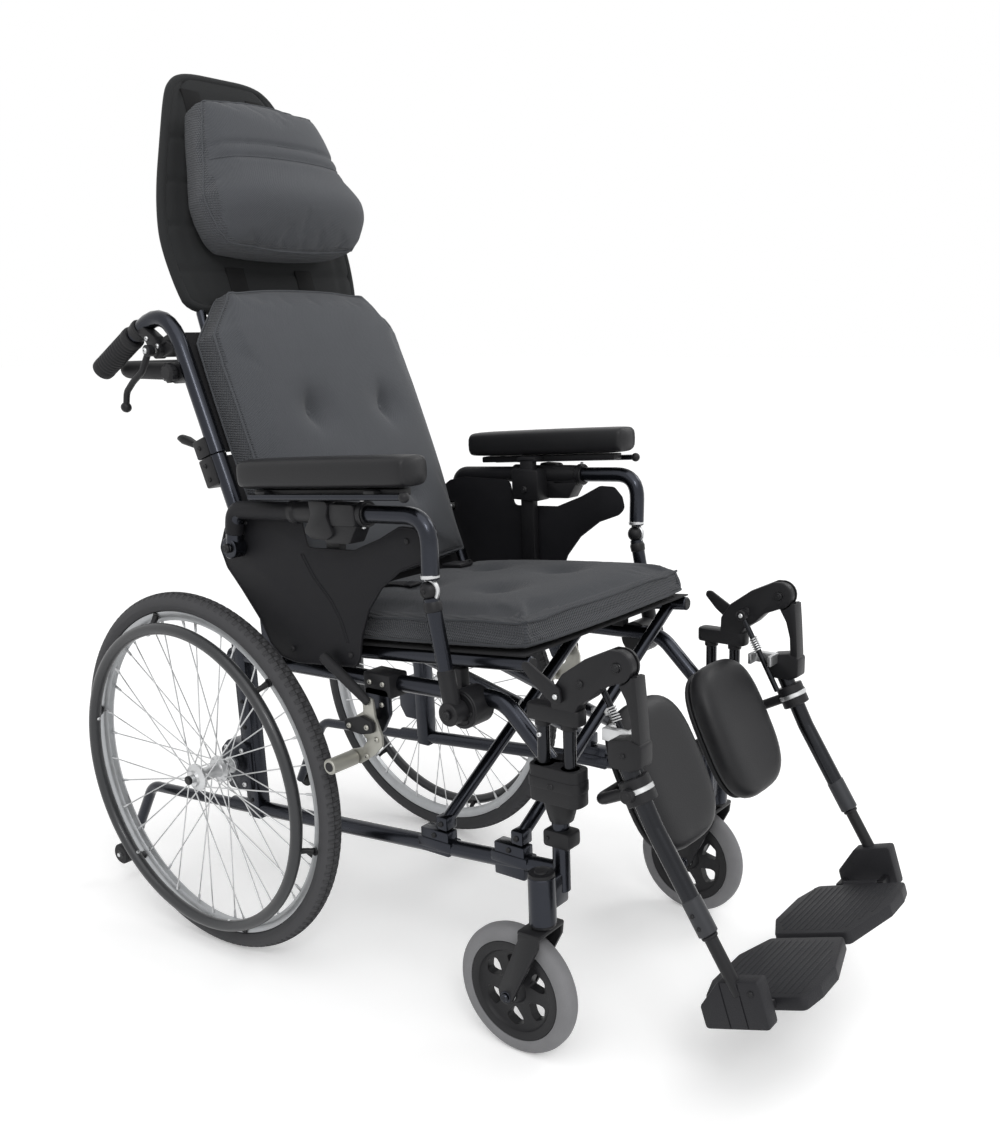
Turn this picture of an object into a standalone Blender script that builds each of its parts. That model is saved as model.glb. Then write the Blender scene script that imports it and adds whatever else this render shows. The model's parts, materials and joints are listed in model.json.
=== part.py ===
"""Reclining wheelchair: one closed solid per physical piece, in metres, +Z up, the chair facing -Y."""

import math

import bmesh
import bpy
import numpy as np
from mathutils import Matrix, Vector

# Driving sizes, in metres and degrees. Y is first counted from the rear axle, and moved to the middle at the end.
GAP = 0.0004
WHEEL_R = 0.305
TYRE_R = 0.0165
WHEEL_X = 0.2775
RIM_SEAT = 0.0125
RIM_R = WHEEL_R - TYRE_R - RIM_SEAT
SPOKES = 36
SPOKE_CROSS = 5
HAND_RIM_R = RIM_R - 0.0235
HAND_RIM_TUBE = 0.0095
HAND_RIM_X = 0.3125
AXLE_R = 0.006
CASTER_R = 0.0995
CASTER_X = 0.249
CASTER_Y = -0.621
STEM_Y = -0.668
STEM_R = 0.006
FRAME_X = 0.208
TUBE = 0.0125
RAIL_LOW_REAR = 0.222
RAIL_LOW_FRONT = 0.279
RAIL_TOP = 0.500
POST_Y = -0.672
HANGER_X = 0.2315
HANGER_PIN = 0.0056
LATCH_TOP = 0.446
SEAT_X = 0.208
SEAT_FRONT = -0.632
SEAT_REAR = -0.160
SEAT_SLOPE = 0.0854
SEAT_RAIL_REAR = 0.531
SEAT_RAIL_R = 0.011
SEAT_WIDTH = 0.443
SEAT_THICK = 0.058
BACK_ANGLE = 20.5
BACK_Y = -0.072
BACK_Z = 0.755
CANE_X = 0.2265
CANE_BOTTOM = -0.212
CANE_TOP = 0.317
HANDLE_DROP = 8.6
FOLD_S = 0.075
FOLD_W = -0.034
BACK_WIDTH = 0.422
BACK_BOTTOM = -0.176
BACK_TOP = 0.335
BACK_THICK = 0.080
RECLINE_Y = -0.135
RECLINE_Z = 0.522
LINK_Y = 0.032
LINK_Z = 0.168
ARM_X = 0.258
ARM_POST_Y = -0.532
ARM_POST_Z = 0.500
PAD_LENGTH = 0.332
PAD_WIDTH = 0.056
PAD_THICK = 0.046
PAD_REAR = -0.154
PAD_SLOPE = 0.0683
PAD_Z = 0.7825
PANEL_X = 0.2408
PANEL_T = 0.0035
KNEE_Y = -0.790
KNEE_Z = 0.600
ROD_Y = -0.735
ROD_Z = 0.566
LEG_X = 0.2315
FOOT_Y = -0.956
FOOT_Z = 0.165
FOOT_PITCH = 18.0
FOOT_TOE = 0.086
FOOT_THICK = 0.020
FOOT_HINGE_X = 0.196
CALF_W = 0.165
CALF_H = 0.212
CALF_T = 0.045
CALF_LEAN = 26.0
LOCK_Y = -0.348
LOCK_Z = 0.448
HEAD_TUBE_X = 0.155
HEAD_ANGLE = 15.0
HEAD_Y = 0.052
HEAD_Z = 1.030
PILLOW_HALF = 0.152
PILLOW_THICK = 0.108
PANEL_HALF = 0.009
BAR_S = 0.214
BAR_W = -0.025
TIP_ROLLER_Y = 0.352
TIP_ROLLER_Z = 0.052
TIP_ROLLER_R = 0.020
RING = 24

SIN_F = math.sin(math.radians(FOOT_PITCH))
COS_F = math.cos(math.radians(FOOT_PITCH))
FOOT_FRONT = FOOT_Y - FOOT_TOE * COS_F - FOOT_THICK * SIN_F
# The middle of the object's length: the footplates are foremost and the anti-tip rollers rearmost.
Y_MID = (FOOT_FRONT + TIP_ROLLER_Y + TIP_ROLLER_R) / 2
BRACE_Y = (SEAT_FRONT + 0.174, SEAT_FRONT + 0.032)
PAD_FRONT = PAD_REAR - PAD_LENGTH
ARM_Q = (RECLINE_Y + LINK_Y, RECLINE_Z + LINK_Z)
ARM_B = (ARM_POST_Y + LINK_Y, ARM_POST_Z + LINK_Z)
SIN_H = math.sin(math.radians(HEAD_ANGLE))
COS_H = math.cos(math.radians(HEAD_ANGLE))
SIN_B = math.sin(math.radians(BACK_ANGLE))
COS_B = math.cos(math.radians(BACK_ANGLE))

for old in list(bpy.data.objects):
    bpy.data.objects.remove(old, do_unlink=True)
PARTS = bpy.data.collections.new("reclining_wheelchair")
bpy.context.scene.collection.children.link(PARTS)
TOOLS = bpy.data.collections.new("cutters")
bpy.context.scene.collection.children.link(TOOLS)


def fillet(path, radius, steps=4):
    """Rounds the inner corners of a path with arcs of about the given radius."""
    pts = [np.array(p, float) for p in path]
    out = [pts[0]]
    for a, b, c in zip(pts, pts[1:], pts[2:]):
        u = (a - b) / np.linalg.norm(a - b)
        v = (c - b) / np.linalg.norm(c - b)
        half = math.acos(max(-1.0, min(1.0, float(u @ v)))) / 2
        cut = min(radius / math.tan(half), 0.49 * np.linalg.norm(a - b), 0.49 * np.linalg.norm(c - b))
        p, q = b + u * cut, b + v * cut
        for k in range(steps + 1):
            t = k / steps
            out.append((1 - t) ** 2 * p + 2 * t * (1 - t) * b + t * t * q)
    out.append(pts[-1])
    return out


def tube(path, radius, sides=10, bend=0.0, steps=4):
    """A capped round bar along a path; radius may be one number or one per point."""
    pts = fillet(path, bend, steps) if bend else [np.array(p, float) for p in path]
    n = len(pts)
    radii = [radius] * n if isinstance(radius, (int, float)) else list(radius)
    tangents = []
    for i in range(n):
        t = pts[min(i + 1, n - 1)] - pts[max(i - 1, 0)]
        tangents.append(t / np.linalg.norm(t))
    ref = np.array([1.0, 0, 0]) if abs(tangents[0][0]) < 0.8 else np.array([0, 0, 1.0])
    verts, faces = [], []
    for p, t, r in zip(pts, tangents, radii):
        side = ref - t * (ref @ t)
        side /= np.linalg.norm(side)
        ref = side
        other = np.cross(t, side)
        for k in range(sides):
            a = 2 * math.pi * (k + 0.5) / sides
            verts.append(p + r * (math.cos(a) * side + math.sin(a) * other))
    for i in range(n - 1):
        for k in range(sides):
            m = (k + 1) % sides
            faces.append((i * sides + k, i * sides + m, (i + 1) * sides + m, (i + 1) * sides + k))
    faces.append(tuple(range(sides - 1, -1, -1)))
    faces.append(tuple((n - 1) * sides + k for k in range(sides)))
    return verts, faces


def bore(radius, sides=12):
    """The corner radius of a many-sided hole whose flats still clear a turning pin of this radius."""
    return (radius + GAP) / math.cos(math.pi / sides)


def bar_x(x0, x1, y, z, radius, sides=12):
    """A round pin along X."""
    return tube([(x0, y, z), (x1, y, z)], radius, sides)


def box(lo, hi):
    """An upright block between two corners."""
    (a, b, c), (d, e, f) = lo, hi
    verts = [(a, b, c), (d, b, c), (d, e, c), (a, e, c), (a, b, f), (d, b, f), (d, e, f), (a, e, f)]
    faces = [(3, 2, 1, 0), (4, 5, 6, 7), (0, 1, 5, 4), (1, 2, 6, 5), (2, 3, 7, 6), (3, 0, 4, 7)]
    return verts, faces


def slab(outline, x0, x1):
    """An outline of (y, z) points run along X from x0 to x1."""
    n = len(outline)
    area = sum(p[0] * q[1] - q[0] * p[1] for p, q in zip(outline, outline[1:] + outline[:1]))
    pts = outline if area > 0 else outline[::-1]
    verts = [(x0, y, z) for y, z in pts] + [(x1, y, z) for y, z in pts]
    faces = [tuple(range(n - 1, -1, -1)), tuple(range(n, 2 * n))]
    faces += [(k, (k + 1) % n, n + (k + 1) % n, n + k) for k in range(n)]
    return verts, faces


def plan(outline, z0, z1):
    """An outline of (x, y) points run up from z0 to z1."""
    verts, faces = slab([(x, y) for x, y in outline], z0, z1)
    return [(y, z, x) for x, y, z in verts], faces


def ball(centre, radius, rows=4, cols=7):
    """A round knob."""
    verts = [(centre[0], centre[1], centre[2] + radius)]
    for i in range(1, rows):
        a = math.pi * i / rows
        for k in range(cols):
            b = 2 * math.pi * k / cols
            ring = radius * math.sin(a)
            verts.append((centre[0] + ring * math.cos(b), centre[1] + ring * math.sin(b),
                          centre[2] + radius * math.cos(a)))
    verts.append((centre[0], centre[1], centre[2] - radius))
    last = len(verts) - 1
    faces = [(0, 1 + k, 1 + (k + 1) % cols) for k in range(cols)]
    for i in range(rows - 2):
        a, b = 1 + i * cols, 1 + (i + 1) * cols
        faces += [(a + k, b + k, b + (k + 1) % cols, a + (k + 1) % cols) for k in range(cols)]
    a = 1 + (rows - 2) * cols
    faces += [(a + k, last, a + (k + 1) % cols) for k in range(cols)]
    return verts, faces


def turned(profile, y, z, steps=RING):
    """A closed profile of (x, r) points turned about the X axis through (y, z)."""
    n = len(profile)
    area = sum(p[0] * q[1] - q[0] * p[1] for p, q in zip(profile, profile[1:] + profile[:1]))
    pts = profile if area > 0 else profile[::-1]
    verts, faces = [], []
    for k in range(steps):
        a = 2 * math.pi * k / steps
        verts += [(x, y + r * math.cos(a), z + r * math.sin(a)) for x, r in pts]
    for k in range(steps):
        m = (k + 1) % steps
        faces += [(k * n + i, m * n + i, m * n + (i + 1) % n, k * n + (i + 1) % n) for i in range(n)]
    return verts, faces


def arc(cy, cz, radius, start, stop, steps):
    """Points (y, z) on an arc, with angles in degrees."""
    angles = np.radians(np.linspace(start, stop, steps))
    return [(cy + radius * math.cos(a), cz + radius * math.sin(a)) for a in angles]


def back(x, s, w):
    """A point on the backrest: s runs up along the cane, w is forward of the cane's centre line."""
    return (x, BACK_Y + s * SIN_B - w * COS_B, BACK_Z + s * COS_B + w * SIN_B)


def handle(x, along):
    """A point of the push handle in (x, s, w), counted from the corner where cane and handle would meet."""
    drop = math.radians(HANDLE_DROP)
    return (x, CANE_TOP - along * math.sin(drop), -along * math.cos(drop))


def on_back(solid):
    """Takes a solid made in (x, s, w) coordinates onto the tilted backrest."""
    verts, faces = solid
    return [back(*v) for v in verts], [tuple(reversed(f)) for f in faces]


def on_head(solid):
    """Takes a solid made in (x, s, w) coordinates onto the head support: s up its tubes, w forward."""
    verts, faces = solid
    moved = [(x, HEAD_Y + s * SIN_H - w * COS_H, HEAD_Z + s * COS_H + w * SIN_H) for x, s, w in verts]
    return moved, [tuple(reversed(f)) for f in faces]


def on_foot(solid):
    """Takes a solid made in (x, a, n) coordinates onto the pitched footplate: a runs to the toe, n up."""
    verts, faces = solid
    moved = [(x, FOOT_Y - a * COS_F + n * SIN_F, FOOT_Z + a * SIN_F + n * COS_F) for x, a, n in verts]
    return moved, [tuple(reversed(f)) for f in faces]


def seat(y):
    """The height of the seat rail's centre line."""
    return SEAT_RAIL_REAR + (SEAT_REAR - y) * SEAT_SLOPE


def shear(solid, base, slope):
    """Raises a solid's points in proportion to how far forward of base they are."""
    verts, faces = solid
    return [(x, y, z + (base - y) * slope) for x, y, z in verts], faces


def cushion(half_w, half_l, thick, crown, cols, rows, shape, lower=0.3, corner=0.035):
    """A stuffed slab in (u, v, w): w is 0 on the underside's middle; shape(u, v) adds channels and tufts.

    The edge is drawn in: the outline shrinks at the top and at the underside and is full at mid height.
    """
    def side(t):
        return math.copysign(abs(t) ** 0.8, t)

    us = [side(-1 + 2 * i / cols) for i in range(cols + 1)]
    vs = [side(-1 + 2 * j / rows) for j in range(rows + 1)]
    verts, faces = [], []
    index = {}

    def rounded(u, v):
        """Pulls the square's corners in."""
        k = 1 - corner * (u * u) * (v * v)
        return u * half_w * k, v * half_l * k

    for level in (0, 1):
        for j, v in enumerate(vs):
            for i, u in enumerate(us):
                x, y = rounded(u, v)
                dome = (1 - abs(u) ** 2.6) * (1 - abs(v) ** 2.6)
                edge = max(abs(u), abs(v))
                draw = 0.985 if edge > 0.99 else 1.0
                if level:
                    w = thick * 0.66 + (thick * 0.34 + crown) * dome ** 0.55 + shape(u, v) * min(1.0, 3 * dome)
                else:
                    w = thick * lower * (1 - dome ** 0.5)
                index[level, i, j] = len(verts)
                verts.append((x * draw, y * draw, w))
    border = [(i, 0) for i in range(cols)] + [(cols, j) for j in range(rows)]
    border += [(i, rows) for i in range(cols, 0, -1)] + [(0, j) for j in range(rows, 0, -1)]
    belt = {}
    for i, j in border:
        x, y = rounded(us[i], vs[j])
        belt[i, j] = len(verts)
        verts.append((x, y, thick * 0.5))
    for j in range(rows):
        for i in range(cols):
            a, b, c, d = (i, j), (i + 1, j), (i + 1, j + 1), (i, j + 1)
            faces.append(tuple(index[(1, *p)] for p in (a, b, c, d)))
            faces.append(tuple(index[(0, *p)] for p in (d, c, b, a)))
    ring = border + border[:1]
    for p, q in zip(ring, ring[1:]):
        faces.append((index[(0, *p)], index[(0, *q)], belt[q], belt[p]))
        faces.append((belt[p], belt[q], index[(1, *q)], index[(1, *p)]))
    return verts, faces


def make_object(name, solid, folder):
    """A Blender object from points and faces, with its normals outward."""
    mesh = bpy.data.meshes.new(name)
    mesh.from_pydata([tuple(map(float, v)) for v in solid[0]], [], solid[1])
    work = bmesh.new()
    work.from_mesh(mesh)
    bmesh.ops.recalc_face_normals(work, faces=work.faces)
    work.to_mesh(mesh)
    work.free()
    thing = bpy.data.objects.new(name, mesh)
    folder.objects.link(thing)
    return thing


def combine(target, solid, operation):
    """Adds or cuts one solid, and keeps the result as the target's mesh."""
    tool = make_object(target.name + "_tool", solid, TOOLS)
    tool.hide_render = True
    tool.display_type = "WIRE"
    step = target.modifiers.new("step", "BOOLEAN")
    step.operation = operation
    step.solver = "EXACT"
    step.object = tool
    graph = bpy.context.evaluated_depsgraph_get()
    mesh = bpy.data.meshes.new_from_object(target.evaluated_get(graph))
    target.modifiers.clear()
    old = target.data
    target.data = mesh
    bpy.data.meshes.remove(old)
    bpy.data.objects.remove(tool, do_unlink=True)


def flip(solid, hand):
    """Mirrors a solid made for the left side (+X) when hand is -1."""
    verts, faces = solid
    if hand > 0:
        return verts, faces
    return [(-x, y, z) for x, y, z in verts], [tuple(reversed(f)) for f in faces]


COLOURS = {
    "steel": ((0.10, 0.11, 0.125), 0.9, 0.3), "bright": ((0.5, 0.5, 0.5), 1.0, 0.35),
    "black": ((0.012, 0.012, 0.013), 0.0, 0.5), "rubber": ((0.06, 0.06, 0.06), 0.0, 0.8),
    "fabric": ((0.07, 0.072, 0.08), 0.0, 0.9), "vinyl": ((0.015, 0.015, 0.016), 0.0, 0.6),
}


def part(name, finish, solids, cuts=(), hand=1):
    """One node: its solids fused, its cuts taken out, its own material."""
    solids = [flip(s, hand) for s in solids]
    thing = make_object(name, solids[0], PARTS)
    for solid in solids[1:]:
        combine(thing, solid, "UNION")
    for solid in cuts:
        combine(thing, flip(solid, hand), "DIFFERENCE")
    thing.data.transform(Matrix.Translation(Vector((0, -Y_MID, 0))))
    colour, metal, rough = COLOURS[finish]
    material = bpy.data.materials.new(name + "_material")
    material.use_nodes = True
    shader = material.node_tree.nodes["Principled BSDF"]
    shader.inputs["Base Color"].default_value = (*colour, 1)
    shader.inputs["Metallic"].default_value = metal
    shader.inputs["Roughness"].default_value = rough
    thing.data.materials.clear()
    thing.data.materials.append(material)
    return thing


def side_frame(side, hand):
    """The welded side frame: rails, posts, caster housing, latch block, axle, lock base, arm socket, anti-tip tube."""
    x, half = FRAME_X, TUBE
    lower = tube([(x, 0.03, RAIL_LOW_REAR), (x, POST_Y, RAIL_LOW_FRONT)], half, 8)
    upper = tube([(x, -0.006, RAIL_TOP - 0.006), (x, -0.580, RAIL_TOP + 0.012), (x, POST_Y, 0.425),
                  (x, POST_Y, RAIL_LOW_FRONT - 0.03)], half, 8, bend=0.06)
    rear = box((x - 0.013, -0.050, RAIL_LOW_REAR - 0.010), (x + 0.013, -0.020, RAIL_TOP + 0.022))
    plate = box((x - 0.010, -0.044, 0.262), (x + 0.024, 0.024, 0.348))
    axle = bar_x(x, HAND_RIM_X + 0.004, 0, WHEEL_R, AXLE_R)
    bridge = box((x - 0.010, STEM_Y - 0.018, 0.228), (CASTER_X, STEM_Y + 0.020, 0.284))
    housing = tube([(CASTER_X, STEM_Y, 0.212), (CASTER_X, STEM_Y, 0.292)], 0.0195, 8)
    latch = box((x - 0.012, -0.700, 0.394), (HANGER_X + 0.015, -0.645, LATCH_TOP))
    nose = box((x + 0.006, -0.7285, 0.394), (HANGER_X + 0.015, -0.699, LATCH_TOP))
    clamp = slab([(-0.652, 0.397), (-0.732, 0.397), (-0.708, 0.366), (-0.660, 0.366)], x - 0.0135, x + 0.030)
    pin = tube([(HANGER_X, -0.665, LATCH_TOP - 0.01), (HANGER_X, -0.665, LATCH_TOP + 0.05)], HANGER_PIN)
    pivot_plate = slab([(-0.180, 0.496), (-0.095, 0.496), (-0.105, 0.538), (-0.135, 0.546), (-0.165, 0.538)],
                       x - 0.010, x + 0.0055)
    pivot = bar_x(x - 0.004, 0.2335, RECLINE_Y, RECLINE_Z, AXLE_R)
    socket = bar_x(x - 0.004, 0.2438, ARM_POST_Y, ARM_POST_Z, 0.028, 14)
    arm_pin = bar_x(0.240, 0.2735, ARM_POST_Y, ARM_POST_Z, AXLE_R)
    lock = box((x - 0.0138, -0.388, 0.430), (0.2335, -0.334, 0.5225))
    lock_pin = bar_x(0.230, 0.2545, LOCK_Y, LOCK_Z, 0.005)
    saddles = [box((x - 0.009, y - 0.012, RAIL_TOP), (x + 0.009, y + 0.012, seat(y + 0.012) - SEAT_RAIL_R - GAP))
               for y in (-0.25, -0.50)]
    feet = [box((x - 0.011, y - 0.014, 0.25), (x + 0.011, y + 0.040, RAIL_LOW_REAR + 0.0822 * -y + 0.029))
            for y in BRACE_Y]
    tip = tube([(x, 0.0, RAIL_LOW_REAR), (x, 0.262, 0.203), (x, 0.318, 0.115),
                (x, TIP_ROLLER_Y, TIP_ROLLER_Z)], 0.0095, 8, bend=0.04, steps=3)
    tip_pin = bar_x(x, x + 0.033, TIP_ROLLER_Y, TIP_ROLLER_Z, 0.004, 8)
    stem_hole = tube([(CASTER_X, STEM_Y, 0.20), (CASTER_X, STEM_Y, 0.270)], bore(STEM_R), 12)
    solids = [lower, upper, rear, plate, axle, bridge, housing, latch, nose, clamp, pin, pivot_plate, pivot, socket,
              arm_pin, lock, lock_pin, *saddles, *feet, tip, tip_pin]
    part(side + "_side_frame", "steel", solids, [stem_hole], hand)
    roller = turned([(x + 0.0105, bore(0.004)), (x + 0.0285, bore(0.004)), (x + 0.0285, TIP_ROLLER_R),
                     (x + 0.0105, TIP_ROLLER_R)], TIP_ROLLER_Y, TIP_ROLLER_Z, 12)
    part(side + "_anti_tip_roller", "black", [roller], (), hand)


def rear_wheel(side, hand):
    """The laced wheel, its tyre and its hand rim. The lacing: each flange's spokes lean both ways and cross."""
    x, z = WHEEL_X, WHEEL_R
    hole = bore(AXLE_R, 12)
    hub = turned([(x - 0.036, hole), (x + 0.030, hole), (x + 0.030, 0.014), (x + 0.021, 0.023), (x + 0.017, 0.023),
                  (x + 0.015, 0.012), (x - 0.021, 0.012), (x - 0.023, 0.023), (x - 0.027, 0.023),
                  (x - 0.036, 0.014)], 0, z, 12)
    rim = turned([(x - 0.011, RIM_R - 0.010), (x - 0.004, RIM_R - 0.017), (x + 0.004, RIM_R - 0.017),
                  (x + 0.011, RIM_R - 0.010), (x + 0.011, RIM_R), (x - 0.011, RIM_R)], 0, z)
    spokes = []
    for k in range(SPOKES):
        head = k % 4 < 2
        flange = (x + 0.019 if k % 2 else x - 0.025) + (0.0019 if head else -0.0019)
        lean = SPOKE_CROSS * 2 * math.pi / SPOKES * (1 if head else -1)
        outer = 2 * math.pi * (k + 0.5) / SPOKES
        inner = outer + lean
        p = (flange, 0.0190 * math.cos(inner), z + 0.0190 * math.sin(inner))
        q = (x + (0.0045 if k % 2 else -0.0045) + (0.0019 if head else -0.0019), (RIM_R - 0.012) * math.cos(outer),
             z + (RIM_R - 0.012) * math.sin(outer))
        spokes.append(tube([p, q], 0.0013, 3))
    part(side + "_rear_wheel", "bright", [hub, rim, *spokes], (), hand)
    mid = WHEEL_R - TYRE_R
    section = [(x + TYRE_R * math.cos(a), mid + TYRE_R * math.sin(a))
               for a in np.radians(np.linspace(-20, 200, 6))]
    section = [(x + 0.0105, RIM_R + GAP), *section, (x - 0.0105, RIM_R + GAP)]
    part(side + "_rear_tyre", "rubber", [turned(section, 0, z)], (), hand)
    ring = [(HAND_RIM_X + HAND_RIM_TUBE * math.cos(a), HAND_RIM_R + HAND_RIM_TUBE * math.sin(a))
            for a in np.linspace(0, 2 * math.pi, 6, endpoint=False) + math.pi / 6]
    studs = []
    for k in range(6):
        a = 2 * math.pi * (k + 0.25) / 6
        p = (HAND_RIM_X, HAND_RIM_R * math.cos(a), z + HAND_RIM_R * math.sin(a))
        q = (x + 0.011 + GAP, (RIM_R - 0.0065) * math.cos(a), z + (RIM_R - 0.0065) * math.sin(a))
        studs.append(tube([p, q], 0.0045, 5))
    clear = turned([(x - 0.02, RIM_R - 0.03), (x + 0.011 + GAP, RIM_R - 0.03), (x + 0.011 + GAP, RIM_R + 0.03),
                    (x - 0.02, RIM_R + 0.03)], 0, z)
    part(side + "_hand_rim", "black", [turned(ring, 0, z), *studs], [clear], hand)


def caster(side, hand):
    """The caster fork with its stem and axle, the spoked hub and the solid tyre."""
    x, r = CASTER_X, CASTER_R
    stem = tube([(x, STEM_Y, 0.2090), (x, STEM_Y, 0.262)], STEM_R, 12)
    crown = box((x - 0.031, STEM_Y - 0.016, 0.2035), (x + 0.031, STEM_Y + 0.024, 0.2115))
    legs = [slab([(STEM_Y - 0.014, 0.206), (STEM_Y + 0.022, 0.206), (CASTER_Y + 0.013, r + 0.008),
                  (CASTER_Y + 0.010, r - 0.010), (CASTER_Y - 0.006, r - 0.013), (CASTER_Y - 0.013, r)], a, b)
            for a, b in ((x + 0.024, x + 0.0308), (x - 0.0308, x - 0.024))]
    axle = bar_x(x - 0.027, x + 0.027, CASTER_Y, r, 0.005)
    part(side + "_caster_fork", "black", [crown, stem, *legs, axle], (), hand)
    hole = bore(0.005, 16)
    hub = turned([(x - 0.021, hole), (x + 0.021, hole), (x + 0.021, 0.016), (x + 0.008, 0.020), (x + 0.008, 0.060),
                  (x + 0.0135, 0.063), (x + 0.0135, 0.076), (x - 0.0135, 0.076), (x - 0.0135, 0.063),
                  (x - 0.008, 0.060), (x - 0.008, 0.020), (x - 0.021, 0.016)], CASTER_Y, r, 16)
    windows = []
    for k in range(6):
        a = 2 * math.pi * (k + 0.5) / 6 + 0.043
        pts = []
        for rad, da in ((0.027, 0.0), (0.043, 0.26), (0.052, 0.27), (0.057, 0.0), (0.052, -0.27), (0.043, -0.26)):
            pts.append((CASTER_Y + rad * math.cos(a + da), r + rad * math.sin(a + da)))
        windows.append(slab(pts, x - 0.02, x + 0.02))
    part(side + "_caster_hub", "black", [hub], windows, hand)
    seat_r = bore(0.076, 20)
    tyre = [(x - 0.0135, seat_r), (x + 0.0135, seat_r), (x + 0.015, 0.085), (x + 0.0105, r - 0.004),
            (x + 0.004, r), (x - 0.004, r), (x - 0.0105, r - 0.004), (x - 0.015, 0.085)]
    part(side + "_caster_tyre", "rubber", [turned(tyre, CASTER_Y, r, 20)], (), hand)


def cross_brace(name, hand, shift):
    """One half of the double cross-brace: two struts from the low rail on one side to the seat rail on the other."""
    struts = []
    for y in BRACE_Y:
        low = RAIL_LOW_REAR + 0.0822 * -y + 0.0298
        struts.append(tube([(-FRAME_X + 0.003, y + shift, low + 0.0118), (SEAT_X, y + shift, seat(y + shift))],
                           0.0098, 10))
        struts.append(box((-FRAME_X - 0.009, y + shift - 0.011, low), (-FRAME_X + 0.015, y + shift + 0.011,
                                                                      low + 0.022)))
    rear = SEAT_REAR - 0.030
    rail = tube([(SEAT_X, rear, seat(rear)), (SEAT_X, SEAT_FRONT, seat(SEAT_FRONT))], SEAT_RAIL_R, 12)
    part(name, "steel", [rail, *struts], (), hand)


def seating():
    """The seat sling and cushion, the back cushion and its channels and tufts."""
    lift = SEAT_RAIL_R * math.sqrt(1 + SEAT_SLOPE ** 2) + GAP
    half = SEAT_WIDTH / 2 - 0.003
    sling = box((-half, SEAT_FRONT + 0.004, 0), (half, -0.200, 0.003))
    sling = [(x, y, z + seat(y) + lift) for x, y, z in sling[0]], sling[1]
    part("seat_sling", "vinyl", [sling])
    front, rear = SEAT_FRONT - 0.004, -0.172

    def seat_shape(u, v):
        """Two rows of tufts and a shallow dip where the sitter rests."""
        dip = -0.006 * math.exp(-((u * 1.3) ** 2 + ((v + 0.1) * 1.3) ** 2))
        tufts = sum(-0.008 * math.exp(-(((u - a) / 0.16) ** 2 + ((v - b) / 0.16) ** 2))
                    for a in (-0.36, 0.36) for b in (-0.3, 0.35))
        return dip + tufts

    verts, faces = cushion(SEAT_WIDTH / 2, (rear - front) / 2, SEAT_THICK, 0.008, 10, 10, seat_shape, 0.12)
    mid = (front + rear) / 2
    verts = [(x, mid + y, z + seat(mid + y) + lift + 0.003 + GAP) for x, y, z in verts]
    part("seat_cushion", "fabric", [(verts, faces)])

    def back_shape(u, v):
        """A lumbar swell and four tufts."""
        swell = 0.010 * math.exp(-((v + 0.45) / 0.35) ** 2) * (1 - u * u)
        tufts = sum(-0.012 * math.exp(-(((u - a) / 0.15) ** 2 + ((v - b) / 0.11) ** 2))
                    for a in (-0.36, 0.36) for b in (0.42, -0.15))
        return swell + tufts

    half_l = (BACK_TOP - BACK_BOTTOM) / 2
    verts, faces = cushion(BACK_WIDTH / 2, half_l, BACK_THICK, 0.012, 10, 12, back_shape, 0.2)
    s_mid = (BACK_TOP + BACK_BOTTOM) / 2
    shaped = []
    for x, s, w in verts:
        top = s_mid + s
        limit = BACK_WIDTH / 2
        if top > BACK_TOP - 0.085:
            limit -= 0.072 * (top - (BACK_TOP - 0.085)) / 0.085
        x = max(-1.0, min(1.0, x / (BACK_WIDTH / 2))) * limit
        shaped.append((x, top, w - 0.010))
    reach = CANE_X - TUBE * math.cos(math.pi / 8) - GAP
    sheet = on_back(box((-reach, BACK_BOTTOM + 0.030, 0), (reach, FOLD_S - 0.004, 0.0045)))
    part("back_cushion", "fabric", [on_back((shaped, faces)), sheet])


def head_support():
    """The head panel on its two tubes, and the pillow with its neck roll."""
    half = [(0.008, 0.176), (0.050, 0.187), (0.110, 0.192), (0.150, 0.186), (0.205, 0.170), (0.275, 0.142),
            (0.340, 0.116), (0.370, 0.100), (0.386, 0.072)]
    outline = [(w, s) for s, w in half] + [(-w, s) for s, w in reversed(half)]
    panel = on_head(plan(outline, -PANEL_HALF, PANEL_HALF))
    tubes = [on_head(tube([(x, -0.175, 0), (x, 0.240, 0)], 0.0075, 10)) for x in (-HEAD_TUBE_X, HEAD_TUBE_X)]
    part("head_panel", "vinyl", [panel, *tubes])

    def pillow_shape(u, v):
        """The neck roll stands out low down; two stitched grooves run across above it."""
        roll = 0.024 * math.exp(-((v + 0.42) / 0.36) ** 2)
        grooves = -0.006 * (math.exp(-((v - 0.30) / 0.07) ** 2) + math.exp(-((v - 0.12) / 0.07) ** 2))
        return roll + grooves

    verts, faces = cushion(PILLOW_HALF, 0.117, PILLOW_THICK, 0.006, 8, 10, pillow_shape, 0.12)
    shaped = []
    for x, s, w in verts:
        taper = float(np.interp(s, (-0.117, -0.095, -0.065, -0.040, 0.010, 0.056, 0.117),
                                (0.86, 0.97, 1.0, 1.0, 0.90, 0.84, 0.76)))
        taper *= 0.92 + 0.08 * min(1.0, 2 * w / PILLOW_THICK)
        shaped.append((x * taper, 0.203 + s, w + PANEL_HALF + GAP))
    part("head_pillow", "fabric", [on_head((shaped, faces))])


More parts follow.
